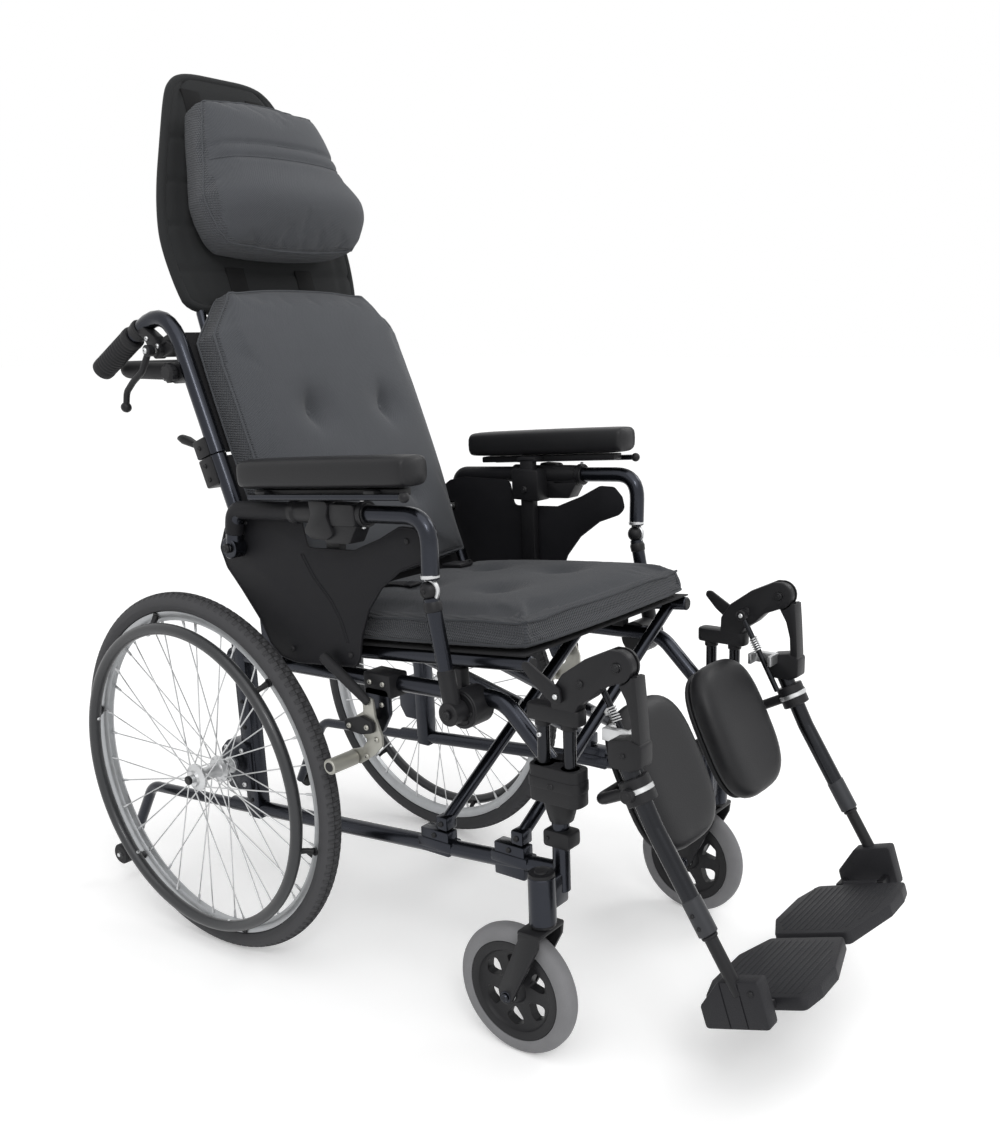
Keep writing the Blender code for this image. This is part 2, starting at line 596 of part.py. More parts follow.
def back_frame(side, hand):
    """The lower cane with its arm pivot, the fold-down upper cane with its handle bend, the grip and lever."""
    x = CANE_X
    cane = tube([back(x, CANE_BOTTOM, 0), back(x, FOLD_S - GAP / 2, 0)], TUBE, 8)
    base = slab([(-0.158, 0.522), (-0.150, 0.505), (-0.135, 0.499), (-0.120, 0.505), (-0.112, 0.522),
                 (-0.110, 0.590), (-0.130, 0.605), (-0.155, 0.590)], 0.2225, 0.2300)
    pin = bar_x(0.232, 0.2720, ARM_Q[0], ARM_Q[1], AXLE_R)
    lug = on_back(box((x - 0.0145, FOLD_S - 0.045, FOLD_W), (x + 0.0145, FOLD_S - GAP, -0.002)))
    hole = bar_x(0.215, 0.236, RECLINE_Y, RECLINE_Z, bore(AXLE_R))
    part(side + "_back_cane", "steel", [cane, base, pin, lug], [hole], hand)

    upper = tube([back(x, FOLD_S + GAP / 2, 0), back(x, CANE_TOP, 0), back(*handle(x, 0.203))], TUBE, 8,
                 bend=0.065, steps=5)
    lug_up = on_back(box((x - 0.0145, FOLD_S + GAP, FOLD_W), (x + 0.0145, FOLD_S + 0.030, -0.002)))
    paddle = on_back(tube([(x, FOLD_S + 0.018, -0.030), (x, FOLD_S + 0.034, -0.052), (x, FOLD_S + 0.050, -0.070)],
                          [0.007, 0.009, 0.011], 8))
    collar = on_back(box((HEAD_TUBE_X - 0.014, 0.247, -0.052), (x + 0.004, 0.274, -0.0125)))
    saddle = on_back(box((x - 0.0108, 0.2476, -0.0363), (x + 0.0062, 0.2733, -0.0034)))
    ear = on_back(box((x - 0.018, BAR_S - 0.014, BAR_W - 0.014), (x + 0.0088, BAR_S + 0.0141, -0.0043)))
    bar_pin = on_back(tube([(x, BAR_S, BAR_W), (0.178, BAR_S, BAR_W)], 0.005, 10))
    knob = on_back(tube([(x + 0.004, BAR_S, BAR_W), (x + 0.026, BAR_S, BAR_W)], 0.0145, 10))
    grip_s, grip_w = CANE_TOP - 0.059, -0.048
    bracket = on_back(box((x - 0.012, grip_s - 0.012, grip_w - 0.012), (x + 0.0117, grip_s + 0.0432, grip_w + 0.0137)))
    lever_pin = on_back(tube([(x, grip_s, grip_w), (x + 0.030, grip_s, grip_w)], 0.004, 8))
    slide = on_head(tube([(HEAD_TUBE_X, -0.15, 0), (HEAD_TUBE_X, 0.05, 0)], 0.0075 + GAP, 10))
    part(side + "_upper_cane", "steel",
         [upper, lug_up, paddle, collar, saddle, ear, bar_pin, knob, bracket, lever_pin], [slide], hand)

    grip = on_back(tube([handle(x, 0.104), handle(x, 0.112), handle(x, 0.207), handle(x, 0.215)],
                        [0.0165, 0.018, 0.0175, 0.015], 12))
    hollow = on_back(tube([handle(x, 0.092), handle(x, 0.204)], TUBE + 0.0006, 8))
    part(side + "_push_grip", "black", [grip], [hollow], hand)

    lx = x + 0.0235
    run = [(lx, grip_s, grip_w), (lx, grip_s - 0.0217, grip_w - 0.0327), (lx, grip_s - 0.0274, grip_w - 0.0628),
           (lx, grip_s - 0.0356, grip_w - 0.0869), (lx, grip_s - 0.0540, grip_w - 0.1000)]
    lever = on_back(tube(run, 0.0050, 6, bend=0.02, steps=3))
    boss = on_back(tube([(lx - 0.006, grip_s, grip_w), (lx + 0.006, grip_s, grip_w)], 0.009, 12))
    tip = on_back(ball((lx, grip_s - 0.0556, grip_w - 0.1012), 0.0085))
    eye = on_back(tube([(lx - 0.02, grip_s, grip_w), (lx + 0.02, grip_s, grip_w)], bore(0.004, 8), 8))
    part(side + "_recline_lever", "black", [boss, lever, tip], [eye], hand)


def stabiliser_bar():
    """The U-shaped bar behind the canes, on two knobs."""
    x, s, w = 0.1935, BAR_S, BAR_W
    path = [(x, s, w), (x, s + 0.070, w - 0.183), (-x, s + 0.070, w - 0.183), (-x, s, w)]
    bar = on_back(tube(path, 0.0140, 8, bend=0.035, steps=3))
    eyes = [on_back(tube([(a - 0.0135, s, w), (a + 0.0135, s, w)], 0.0158, 12)) for a in (x, -x)]
    holes = [on_back(tube([(a - 0.03, s, w), (a + 0.03, s, w)], bore(0.005, 10), 10)) for a in (x, -x)]
    part("stabiliser_bar", "black", [bar, *eyes], holes)


def arm(side, hand):
    """The armrest: front link, arm tube with its clamp, side panel, height post with rail, pad."""
    x = ARM_X
    (qy, qz), (by, bz) = ARM_Q, ARM_B
    link = tube([(x, ARM_POST_Y, ARM_POST_Z), (x, by, bz)], 0.0110, 10)
    eye = bar_x(0.2445, 0.2715, ARM_POST_Y, ARM_POST_Z, 0.0170, 12)
    joint = ball((x, by, bz), 0.0135, 4, 8)
    hole = bar_x(0.235, 0.28, ARM_POST_Y, ARM_POST_Z, bore(AXLE_R))
    part(side + "_arm_link", "black", [eye, link, joint], [hole], hand)

    end = (x, by - 0.0022, bz + 0.0155)
    run = tube([(x, qy, qz), (x, qy - 0.010, qz + 0.058), (x, -0.505, 0.769), end], TUBE, 8, bend=0.04, steps=3)
    hub = bar_x(0.2465, 0.2695, qy, qz, 0.0165, 12)
    casting = slab([(-0.246, 0.738), (-0.262, 0.729), (-0.375, 0.733), (-0.392, 0.748), (-0.392, 0.772),
                    (-0.372, 0.779), (-0.262, 0.776), (-0.246, 0.764)], PANEL_X + PANEL_T + GAP, 0.2790)
    sleeve = box((0.2165, -0.324, 0.716), (0.2520, -0.266, 0.770))
    slot = box((0.2225 - GAP, -0.309 - GAP, 0.70), (0.2365 + GAP, -0.281 + GAP, 0.79))
    pin_hole = bar_x(0.235, 0.28, qy, qz, bore(AXLE_R))
    part(side + "_arm_frame", "steel", [run, hub, casting, sleeve], [slot, pin_hole], hand)

    outline = [(-0.136, 0.746), (-0.100, 0.738), (-0.066, 0.715), (-0.050, 0.682), (-0.062, 0.652), (-0.092, 0.620),
               (-0.130, 0.575), (-0.148, 0.541), (-0.170, 0.523), (-0.205, 0.518), (-0.334, 0.530), (-0.343, 0.545),
               (-0.350, 0.580), (-0.368, 0.621), (-0.397, 0.657), (-0.438, 0.687), (-0.478, 0.702), (-0.489, 0.712),
               (-0.484, 0.732), (-0.468, 0.748), (-0.345, 0.748), (-0.334, 0.705), (-0.250, 0.701), (-0.240, 0.746)]
    panel = slab(outline, PANEL_X, PANEL_X + PANEL_T)
    pivot_hole = bar_x(PANEL_X - 0.01, PANEL_X + 0.01, qy, qz, 0.0085)
    part(side + "_side_panel", "black", [panel], [pivot_hole], hand)

    def under(y):
        """The height of the pad's underside."""
        return PAD_Z + (PAD_REAR - y) * PAD_SLOPE

    rail = box((x - 0.012, PAD_FRONT + 0.020, PAD_Z - 0.011), (x + 0.012, PAD_REAR - 0.022, PAD_Z - GAP))
    rail = shear(rail, PAD_REAR, PAD_SLOPE)
    bridge = shear(box((0.2225, -0.315, PAD_Z - 0.010), (x, -0.275, PAD_Z - 0.0008)), PAD_REAR, PAD_SLOPE)
    post = box((0.2225, -0.309, 0.600), (0.2365, -0.281, under(-0.281) - 0.004))
    aft, fore = PAD_REAR - 0.025, PAD_FRONT + 0.030
    rod = tube([(x + 0.024, aft, under(aft) - 0.010), (x + 0.024, fore, under(fore) - 0.010)], 0.0048, 8)
    lugs = [shear(box((x, y - 0.010, PAD_Z - 0.0105), (x + 0.026, y + 0.010, PAD_Z - 0.0012)), PAD_REAR, PAD_SLOPE)
            for y in (aft - 0.025, fore + 0.033)]
    tip = ball((x + 0.024, fore - 0.003, under(fore) - 0.010), 0.0075)
    part(side + "_arm_post", "black", [rail, bridge, post, *lugs, rod, tip], (), hand)

    def pad_shape(u, v):
        """The pad's top is plain."""
        return 0.0

    verts, faces = cushion(PAD_WIDTH / 2, PAD_LENGTH / 2, PAD_THICK, 0.002, 4, 6, pad_shape, 0.02)
    mid = PAD_REAR - PAD_LENGTH / 2
    verts = [(x + u, mid + v, min(w, PAD_THICK * 0.9) + under(mid + v)) for u, v, w in verts]
    part(side + "_arm_pad", "vinyl", [(verts, faces)], (), hand)


def legrest(side, hand):
    """The swing-away hanger, its release lever, the elevating leg, its rod, stem, footplate and calf pad."""
    x = LEG_X
    tubes = [tube([(x, y, LATCH_TOP + GAP), (x, y, 0.528)], 0.0090, 12) for y in (-0.665, -0.708)]
    collar = box((x - 0.0125, -0.730, 0.508), (x + 0.0125, -0.644, 0.531))
    outline = [(-0.686, 0.522), (-0.687, 0.553), (-0.704, 0.577), (-0.7406, 0.603), (-0.780, 0.6215),
               *arc(KNEE_Y, KNEE_Z, 0.022, 80, 270, 7), (-0.766, 0.568), (-0.750, 0.552), (-0.731, 0.539),
               (-0.722, 0.522)]
    case = slab(outline, x - 0.0125, x + 0.0125)
    lever_pin = bar_x(x, x + 0.0215, -0.700, 0.549, 0.004, 8)
    rod_pin = bar_x(x - 0.036, x, ROD_Y, ROD_Z, 0.004, 8)
    knee_hole = bar_x(x - 0.03, x + 0.03, KNEE_Y, KNEE_Z, bore(AXLE_R))
    slot = box((x - 0.0063, -0.85, 0.54), (x + 0.0063, KNEE_Y + 0.0225, 0.66))
    socket = tube([(x, -0.665, 0.42), (x, -0.665, LATCH_TOP + 0.056)], bore(HANGER_PIN), 12)
    part(side + "_legrest_hanger", "black", [case, collar, *tubes, lever_pin, rod_pin], [slot, knee_hole, socket], hand)

    lever = slab([(-0.709, 0.541), (-0.694, 0.538), (-0.664, 0.560), (-0.645, 0.580), (-0.647, 0.588),
                  (-0.656, 0.588), (-0.706, 0.559)], x + 0.0130, x + 0.0185)
    eye = bar_x(x, x + 0.03, -0.700, 0.549, bore(0.004, 8), 8)
    part(side + "_release_lever", "black", [lever], [eye], hand)

    head = bar_x(x - 0.0058, x + 0.0058, KNEE_Y, KNEE_Z, 0.0205, 20)
    neck = slab([(-0.8165, 0.592), (-0.8165, 0.566), (-0.800, 0.562), (-0.785, 0.584)], x - 0.0058, x + 0.0058)
    drop = slab([(-0.8175, 0.5895), *arc(KNEE_Y, KNEE_Z, 0.0232, 205, 262, 4), (-0.8035, 0.560), (-0.8105, 0.535),
                 (-0.8125, 0.505), (-0.8125, 0.478), (-0.826, 0.474), (-0.8245, 0.510), (-0.8205, 0.560)],
                x - 0.0125, x + 0.0125)
    heart = slab([(-0.8275, 0.504), (-0.8275, 0.473), (-0.812, 0.466), (-0.780, 0.466), (-0.7765, 0.478),
                  (-0.777, 0.503), (-0.808, 0.509)], x - 0.0145, x + 0.0145)
    knee = bar_x(x - 0.0125, x + 0.0125, KNEE_Y, KNEE_Z, AXLE_R)
    top, turn, low = (x, -0.790, 0.485), (x, -0.838, 0.392), (x, -0.918, 0.266)
    outer = tube([top, turn, low], TUBE, 8, bend=0.035, steps=3)
    along = np.array(low) - np.array(turn)
    along /= np.linalg.norm(along)
    slide = tube([np.array(low) - 0.076 * along, np.array(low) + 0.02 * along], 0.0092 + GAP, 12)
    fork = box((x - 0.040, -0.792, 0.491), (x - 0.010, -0.752, 0.508))
    jaw = box((x - 0.050, -0.786, 0.470), (x - 0.0215, -0.758, 0.520))
    part(side + "_leg_tube", "steel", [outer, heart, drop, neck, head, knee, fork], [slide, jaw], hand)

    start = np.array((x - 0.0285, ROD_Y, ROD_Z))
    run = np.array((0, -0.037, -0.066))
    run = run / np.linalg.norm(run)
    rod = tube([start, start + 0.133 * run], 0.0045, 8)
    ring = bar_x(x - 0.0345, x - 0.0225, ROD_Y, ROD_Z, 0.0085, 10)
    rod_hole = bar_x(x - 0.06, x - 0.01, ROD_Y, ROD_Z, bore(0.004, 8), 8)
    part(side + "_leg_rod", "bright", [ring, rod], [rod_hole], hand)

    inside = np.array(low) - 0.070 * along
    tip = np.array(low) + 0.085 * along
    stem = tube([inside, tip], 0.0092, 12)
    wall = on_foot(slab([(-0.044, -0.020), (0.052, -0.020), (0.052, 0.045), (-0.008, 0.045), (-0.044, 0.012)],
                        x - 0.017, x + 0.0075))
    hinge = -0.006
    ears = [on_foot(box((FOOT_HINGE_X - 0.006, at, -0.013), (x, at + 0.011, -0.0005))) for at in (-0.042, 0.029)]
    pin = on_foot(tube([(FOOT_HINGE_X, -0.037, hinge), (FOOT_HINGE_X, 0.036, hinge)], 0.004, 8))
    part(side + "_foot_stem", "black", [wall, stem, *ears, pin], (), hand)

    outline = [(0.187, -0.070), (0.187, 0.078), (0.150, FOOT_TOE), (0.100, FOOT_TOE), (0.006, 0.058), (0.006, -0.060),
               (0.060, -0.086), (0.140, -0.086)]
    plate = on_foot(plan(outline, -FOOT_THICK, 0))
    knuckle = on_foot(tube([(FOOT_HINGE_X, -0.0305, hinge), (FOOT_HINGE_X, 0.0285, hinge)], 0.0072, 10))
    web = on_foot(box((0.180, -0.0280, hinge - 0.0045), (FOOT_HINGE_X, 0.0260, hinge + 0.0045)))
    pin_hole = on_foot(tube([(FOOT_HINGE_X, -0.06, hinge), (FOOT_HINGE_X, 0.06, hinge)], bore(0.004, 8), 8))
    part(side + "_footplate", "black", [plate, knuckle, web], [pin_hole], hand)

    axis = np.array(turn) - np.array(top)
    axis /= np.linalg.norm(axis)
    lean = np.array((0, -math.sin(math.radians(CALF_LEAN)), -math.cos(math.radians(CALF_LEAN))))
    behind = np.array((0, -lean[2], lean[1]))
    hold = np.array(top) + axis * 0.052
    clamp = tube([hold - 0.017 * axis, hold + 0.017 * axis], 0.0215, 14)
    reach = [hold + 0.012 * behind, hold + 0.078 * behind + np.array((-0.012, 0, 0)),
             hold + 0.082 * behind + np.array((-0.075, 0, 0)), hold + 0.064 * behind + np.array((-0.110, 0, 0))]
    strut = tube([tuple(p) for p in reach], 0.0080, 8, bend=0.025, steps=3)
    clamp_hole = tube([hold - 0.05 * axis, hold + 0.05 * axis], bore(TUBE, 12), 12)

    def calf_shape(u, v):
        """The pad is dished across its width."""
        return -0.004 * (1 - u * u)

    verts, faces = cushion(CALF_W / 2, CALF_H / 2, CALF_T, 0.006, 6, 6, calf_shape, 0.12, 0.2)
    centre = hold + lean * 0.006 + behind * 0.070 + np.array((-0.124, 0, 0))
    placed = [tuple(centre + np.array((u, 0, 0)) - lean * v - behind * w) for u, v, w in verts]
    part(side + "_calf_pad", "vinyl", [(placed, faces), strut, clamp], [clamp_hole], hand)


def wheel_lock(side, hand):
    """The wheel lock: handle, plate and the shoe that bears on the tyre."""
    x = 0.2500
    plate = slab([*arc(LOCK_Y, LOCK_Z, 0.015, -20, 160, 6), (-0.345, 0.386), (-0.315, 0.382)], x - 0.0030, x + 0.0030)
    shoe = bar_x(x - 0.0025, x + 0.053, -0.325, 0.392, 0.0105, 10)
    handle = tube([(x, LOCK_Y + 0.004, LOCK_Z + 0.010), (x, -0.325, 0.492), (x + 0.004, -0.296, 0.522),
                   (x + 0.004, -0.272, 0.546)], [0.0050, 0.0060, 0.0085, 0.0075], 10)
    hole = bar_x(x - 0.02, x + 0.02, LOCK_Y, LOCK_Z, bore(0.005))
    part(side + "_wheel_lock", "bright", [plate, shoe, handle], [hole], hand)


for side_name, hand_sign in (("right", -1), ("left", 1)):
    side_frame(side_name, hand_sign)
    rear_wheel(side_name, hand_sign)
    caster(side_name, hand_sign)
    back_frame(side_name, hand_sign)
    arm(side_name, hand_sign)
    legrest(side_name, hand_sign)
    wheel_lock(side_name, hand_sign)
cross_brace("cross_brace_a", 1, 0.0)
cross_brace("cross_brace_b", -1, 0.024)
seating()
head_support()
stabiliser_bar()
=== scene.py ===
"""Looks of the reclining wheelchair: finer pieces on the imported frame, with procedural finishes."""

from __future__ import annotations

import json
import logging
from dataclasses import dataclass
from enum import Enum
from math import acos, atan, copysign, cos, exp, pi, radians, sin, sqrt, tan
from typing import Callable, Iterable, Protocol, Sequence

import bmesh
import bpy
import numpy as np
from mathutils import Matrix, Vector
from mathutils.bvhtree import BVHTree

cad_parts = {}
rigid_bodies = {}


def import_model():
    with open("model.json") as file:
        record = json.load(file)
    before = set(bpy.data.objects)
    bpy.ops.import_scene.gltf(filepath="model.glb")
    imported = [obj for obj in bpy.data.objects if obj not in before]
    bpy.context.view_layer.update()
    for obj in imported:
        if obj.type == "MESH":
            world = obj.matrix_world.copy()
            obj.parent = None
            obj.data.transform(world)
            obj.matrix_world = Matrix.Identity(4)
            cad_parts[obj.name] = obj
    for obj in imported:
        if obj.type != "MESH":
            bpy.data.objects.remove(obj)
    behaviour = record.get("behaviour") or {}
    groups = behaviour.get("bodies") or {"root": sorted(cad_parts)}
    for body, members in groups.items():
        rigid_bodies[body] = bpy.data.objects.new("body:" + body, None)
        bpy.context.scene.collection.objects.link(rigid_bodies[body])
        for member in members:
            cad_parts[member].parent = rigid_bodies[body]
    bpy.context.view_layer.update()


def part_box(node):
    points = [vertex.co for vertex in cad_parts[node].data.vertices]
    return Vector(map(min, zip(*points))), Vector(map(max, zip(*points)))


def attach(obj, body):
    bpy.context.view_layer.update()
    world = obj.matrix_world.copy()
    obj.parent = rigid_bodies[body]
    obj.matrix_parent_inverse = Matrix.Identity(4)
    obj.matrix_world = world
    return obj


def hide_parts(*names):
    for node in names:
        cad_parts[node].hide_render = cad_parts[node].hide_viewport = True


LOG = logging.getLogger("chair")
Point = Sequence[float]
Face = tuple[int, ...]
Solid = tuple[list[Point], list[Face]]
Frame = Callable[[float, float, float], Point]
Number = "Sock | float"
# Radii of the pivots' pins and bores, in metres.
PIN = 0.0058
BORE = 0.0066
THIN_PIN = 0.0038
THIN_BORE = 0.0045


def srgb(red: int, green: int, blue: int) -> tuple[float, float, float, float]:
    """A colour as a picture shows it, made linear.

    Args:
        red, green, blue: from 0 to 255.
    Returns:
        The linear colour with alpha 1.
    """
    def one(value: int) -> float:
        v = value / 255
        return v / 12.92 if v <= 0.04045 else ((v + 0.055) / 1.055) ** 2.4

    return one(red), one(green), one(blue), 1.0


class Sock:
    """A node's output; arithmetic on it adds Math nodes to its graph."""

    def __init__(self, graph: "Graph", socket: bpy.types.NodeSocket) -> None:
        self.graph = graph
        self.socket = socket

    def _math(self, operation: str, *values: Number) -> "Sock":
        """One Math node over the given values."""
        return self.graph.out("ShaderNodeMath", {"operation": operation}, dict(enumerate(values)))

    def __add__(self, other: Number) -> "Sock":
        return self._math("ADD", self, other)

    def __radd__(self, other: Number) -> "Sock":
        return self._math("ADD", other, self)

    def __sub__(self, other: Number) -> "Sock":
        return self._math("SUBTRACT", self, other)

    def __mul__(self, other: Number) -> "Sock":
        return self._math("MULTIPLY", self, other)

    def __pow__(self, other: Number) -> "Sock":
        return self._math("POWER", self, other)

    def sine(self) -> "Sock":
        """The sine of this value."""
        return self._math("SINE", self)

    def angle_to(self, other: "Sock") -> "Sock":
        """The angle whose tangent is this value over the other."""
        return self._math("ARCTAN2", self, other)

    def above(self, level: float) -> "Sock":
        """1 where this value is over the level, else 0."""
        return self._math("GREATER_THAN", self, level)


class Graph:
    """The nodes of one material or world, made through a few short calls."""

    def __init__(self, owner: bpy.types.Material | bpy.types.World, shader: str = "Principled BSDF") -> None:
        owner.use_nodes = True
        self.owner = owner
        self.tree = owner.node_tree
        self.shader = self.tree.nodes[shader]

    def plug(self, socket: bpy.types.NodeSocket, value: object) -> None:
        """Links a Sock to an input, or sets the input's own value."""
        if isinstance(value, Sock):
            self.tree.links.new(value.socket, socket)
        else:
            socket.default_value = value

    def node(self, kind: str, settings: dict, sockets: dict) -> bpy.types.Node:
        """A node with its settings set first, then its inputs."""
        made = self.tree.nodes.new(kind)
        for key, value in settings.items():
            setattr(made, key, value)
        for key, value in sockets.items():
            self.plug(made.inputs[key], value)
        return made

    def out(self, kind: str, settings: dict, sockets: dict, output: int | str = 0) -> Sock:
        """A node's output as a Sock."""
        return Sock(self, self.node(kind, settings, sockets).outputs[output])

    def mix(self, factor: Number, first: object, second: object) -> Sock:
        """A colour between two colours."""
        return self.out("ShaderNodeMix", {"data_type": "RGBA"}, {0: factor, 6: first, 7: second}, 2)

    def spot(self) -> Sock:
        """The point's place on its piece, in metres."""
        return self.out("ShaderNodeTexCoord", {}, {}, "Object")

    def turned(self, spot: Sock, tilt: float, stretch: Point = (1, 1, 1)) -> Sock:
        """The place turned about X by an angle and stretched along its axes."""
        sockets = {"Vector": spot, "Rotation": (tilt, 0, 0), "Scale": stretch}
        return self.out("ShaderNodeMapping", {"vector_type": "POINT"}, sockets)

    def axes(self, spot: Sock) -> tuple[Sock, Sock, Sock]:
        """The place's three numbers."""
        made = self.node("ShaderNodeSeparateXYZ", {}, {0: spot})
        return tuple(Sock(self, made.outputs[k]) for k in range(3))

    def noise(self, spot: Sock, scale: float, detail: float = 2.0) -> Sock:
        """Soft noise from 0 to 1."""
        return self.out("ShaderNodeTexNoise", {}, {"Vector": spot, "Scale": scale, "Detail": detail})

    def cells(self, spot: Sock, scale: float) -> Sock:
        """The distance to the nearest cell's middle."""
        return self.out("ShaderNodeTexVoronoi", {}, {"Vector": spot, "Scale": scale})

    def bump(self, height: Sock, strength: float, distance: float) -> Sock:
        """A normal from a height in units of the given distance."""
        return self.out("ShaderNodeBump", {}, {"Height": height, "Strength": strength, "Distance": distance})

    def seen_by(self, rays: Sequence[str]) -> Sock:
        """1 for the given kinds of ray."""
        path = self.node("ShaderNodeLightPath", {}, {})
        first, *others = (Sock(self, path.outputs[ray]) for ray in rays)
        return sum(others, first)

    def surface(self, **sockets: object) -> None:
        """Sets the surface shader's inputs; underscores stand for spaces."""
        for key, value in sockets.items():
            self.plug(self.shader.inputs[key.replace("_", " ")], value)


@dataclass(frozen=True)
class Finish:
    """A finish: its name, its colour as a picture shows it, and the record's slot."""

    name: str
    colour: tuple[int, int, int]
    slot: str

    def shade(self, graph: Graph) -> None:
        """Wires the finish into a graph."""
        raise NotImplementedError

    def tone(self, gain: float) -> tuple[float, float, float, float]:
        """The finish's linear colour, lighter or darker by a factor."""
        red, green, blue, _ = srgb(*self.colour)
        return red * gain, green * gain, blue * gain, 1.0

    def material(self) -> bpy.types.Material:
        """The finish's one material."""
        found = bpy.data.materials.get(self.name)
        if found is None:
            found = bpy.data.materials.new(self.name)
            self.shade(Graph(found))
        return found


@dataclass(frozen=True)
class Coated(Finish):
    """A metallic coat on tube: fine flake, faint orange peel, soft handling marks."""

    metallic: float = 0.92
    roughness: float = 0.18
    coat: float = 0.12

    def shade(self, graph: Graph) -> None:
        spot = graph.spot()
        flake = graph.noise(spot, 1400, 1)
        marks = graph.noise(spot, 26, 4)
        peel = graph.noise(spot, 320, 1)
        shade = graph.mix(marks, self.tone(0.86), self.tone(1.16))
        colour = graph.mix(flake * 0.45, shade, self.tone(1.5))
        graph.surface(Base_Color=colour, Metallic=self.metallic, Roughness=self.roughness + marks * 0.14,
                      Coat_Weight=self.coat, Coat_Roughness=0.05, Normal=graph.bump(peel, 0.1, 0.0006))


@dataclass(frozen=True)
class Brushed(Finish):
    """Bare or plated metal with a fine drawn grain and dull patches."""

    roughness: float = 0.27
    stretch: tuple[float, float, float] = (1.0, 1.0, 1.0)

    def shade(self, graph: Graph) -> None:
        spot = graph.spot()
        grain = graph.noise(graph.turned(spot, 0.0, self.stretch), 900, 2)
        patch = graph.noise(spot, 45, 3)
        colour = graph.mix(patch, self.tone(0.82), self.tone(1.12))
        graph.surface(Base_Color=colour, Metallic=0.95,
                      Roughness=self.roughness + patch * 0.16 + grain * 0.06,
                      Normal=graph.bump(grain, 0.12, 0.0004))


@dataclass(frozen=True)
class Moulded(Finish):
    """Moulded plastic, rubber or skinned foam: a leathery or sandy grain and worn, lighter patches."""

    roughness: float = 0.5
    grain: float = 900.0
    depth: float = 0.25
    specular: float = 0.3

    def shade(self, graph: Graph) -> None:
        spot = graph.spot()
        pits = graph.cells(spot, self.grain)
        wear = graph.noise(spot, 30, 5)
        fine = graph.noise(spot, self.grain * 1.7, 2)
        colour = graph.mix(wear, self.tone(0.82), self.tone(1.2))
        graph.surface(Base_Color=graph.mix(pits * 0.35, colour, self.tone(0.72)),
                      Roughness=self.roughness + (wear - 0.5) * 0.16 + (fine - 0.5) * 0.08,
                      Specular_IOR_Level=self.specular,
                      Normal=graph.bump(pits * 0.7 + fine * 0.3, self.depth, 0.0007))


class Weave(Enum):
    """How a cloth is made."""

    PLAIN = "plain"
    SPACER = "spacer"
    RIB = "rib"
    LOOP = "loop"


@dataclass(frozen=True)
class Woven(Finish):
    """Cloth: a weave in the panel's own plane over a soft heather of lighter and darker yarn, with painted shade
    in the weave's low parts.
    """

    weave: Weave = Weave.PLAIN
    period: float = 0.0026
    tilt: float = 0.0
    depth: float = 0.5
    sheen: float = 0.12

    def pattern(self, graph: Graph, spot: Sock) -> Sock:
        """The weave's height, from 0 to 1."""
        x, y, z = graph.axes(graph.turned(spot, self.tilt))
        k = 2 * pi / self.period
        if self.weave is Weave.PLAIN:
            return ((x * k).sine() * (y * k).sine() + 1) * 0.5
        if self.weave is Weave.RIB:
            return ((x * k + z * k).sine() + 1) * 0.5
        if self.weave is Weave.LOOP:
            return graph.noise(spot, 1 / self.period, 3)
        across = (y + x) * k
        along = z * k
        return (((across + along).sine() * (across - along).sine()) + 1) * 0.5

    def shade(self, graph: Graph) -> None:
        spot = graph.spot()
        height = self.pattern(graph, spot)
        heather = graph.noise(spot, 520, 3)
        cast = graph.noise(spot, 14, 3)
        base = graph.mix(cast, self.tone(0.9), self.tone(1.12))
        yarn = graph.mix(heather * 0.5, base, self.tone(1.35))
        # Painted shade: where the weave is low, the colour is drawn darker, down to half the yarn's tone.
        colour = graph.mix(height * 0.55, graph.mix(0.5, yarn, self.tone(0.5)), yarn)
        graph.surface(Base_Color=colour, Roughness=0.86 + (heather - 0.5) * 0.16, Specular_IOR_Level=0.2,
                      Sheen_Weight=self.sheen, Sheen_Roughness=0.5,
                      Normal=graph.bump(height * 0.8 + heather * 0.2, self.depth, self.period * 0.45))


@dataclass(frozen=True)
class Tread(Finish):
    """Tyre rubber: a smooth grey wall, a darker running face, dusty wear, and painted shade in the gaps between
    the tread blocks.
    """

    axle: tuple[float, float] = (0.0, 0.0)
    inner: float = 0.29
    blocks: int = 126

    def shade(self, graph: Graph) -> None:
        spot = graph.spot()
        _, y, z = graph.axes(spot)
        dy = y - self.axle[0]
        dz = z - self.axle[1]
        radius = (dy * dy + dz * dz) ** 0.5
        rise = (radius - self.inner) * 220
        face = graph.out("ShaderNodeClamp", {}, {"Value": rise, "Min": 0.0, "Max": 1.0})
        # Painted shade: narrow bands between the tread blocks on the running face are drawn near black.
        step = (dz.angle_to(dy) * self.blocks).sine()
        painted_groove_shade = (step * step).above(0.9) * face
        dust = graph.noise(spot, 38, 5)
        fine = graph.noise(spot, 1500, 2)
        wall = graph.mix(dust * 0.8, self.tone(0.86), self.tone(1.18))
        worn = graph.mix(face * 0.8, wall, graph.mix(dust, self.tone(0.64), self.tone(0.9)))
        graph.surface(Base_Color=graph.mix(painted_groove_shade * 0.8, worn, self.tone(0.3)), Roughness=0.66 + dust * 0.2,
                      Specular_IOR_Level=0.25, Normal=graph.bump(fine, 0.5, 0.0005))


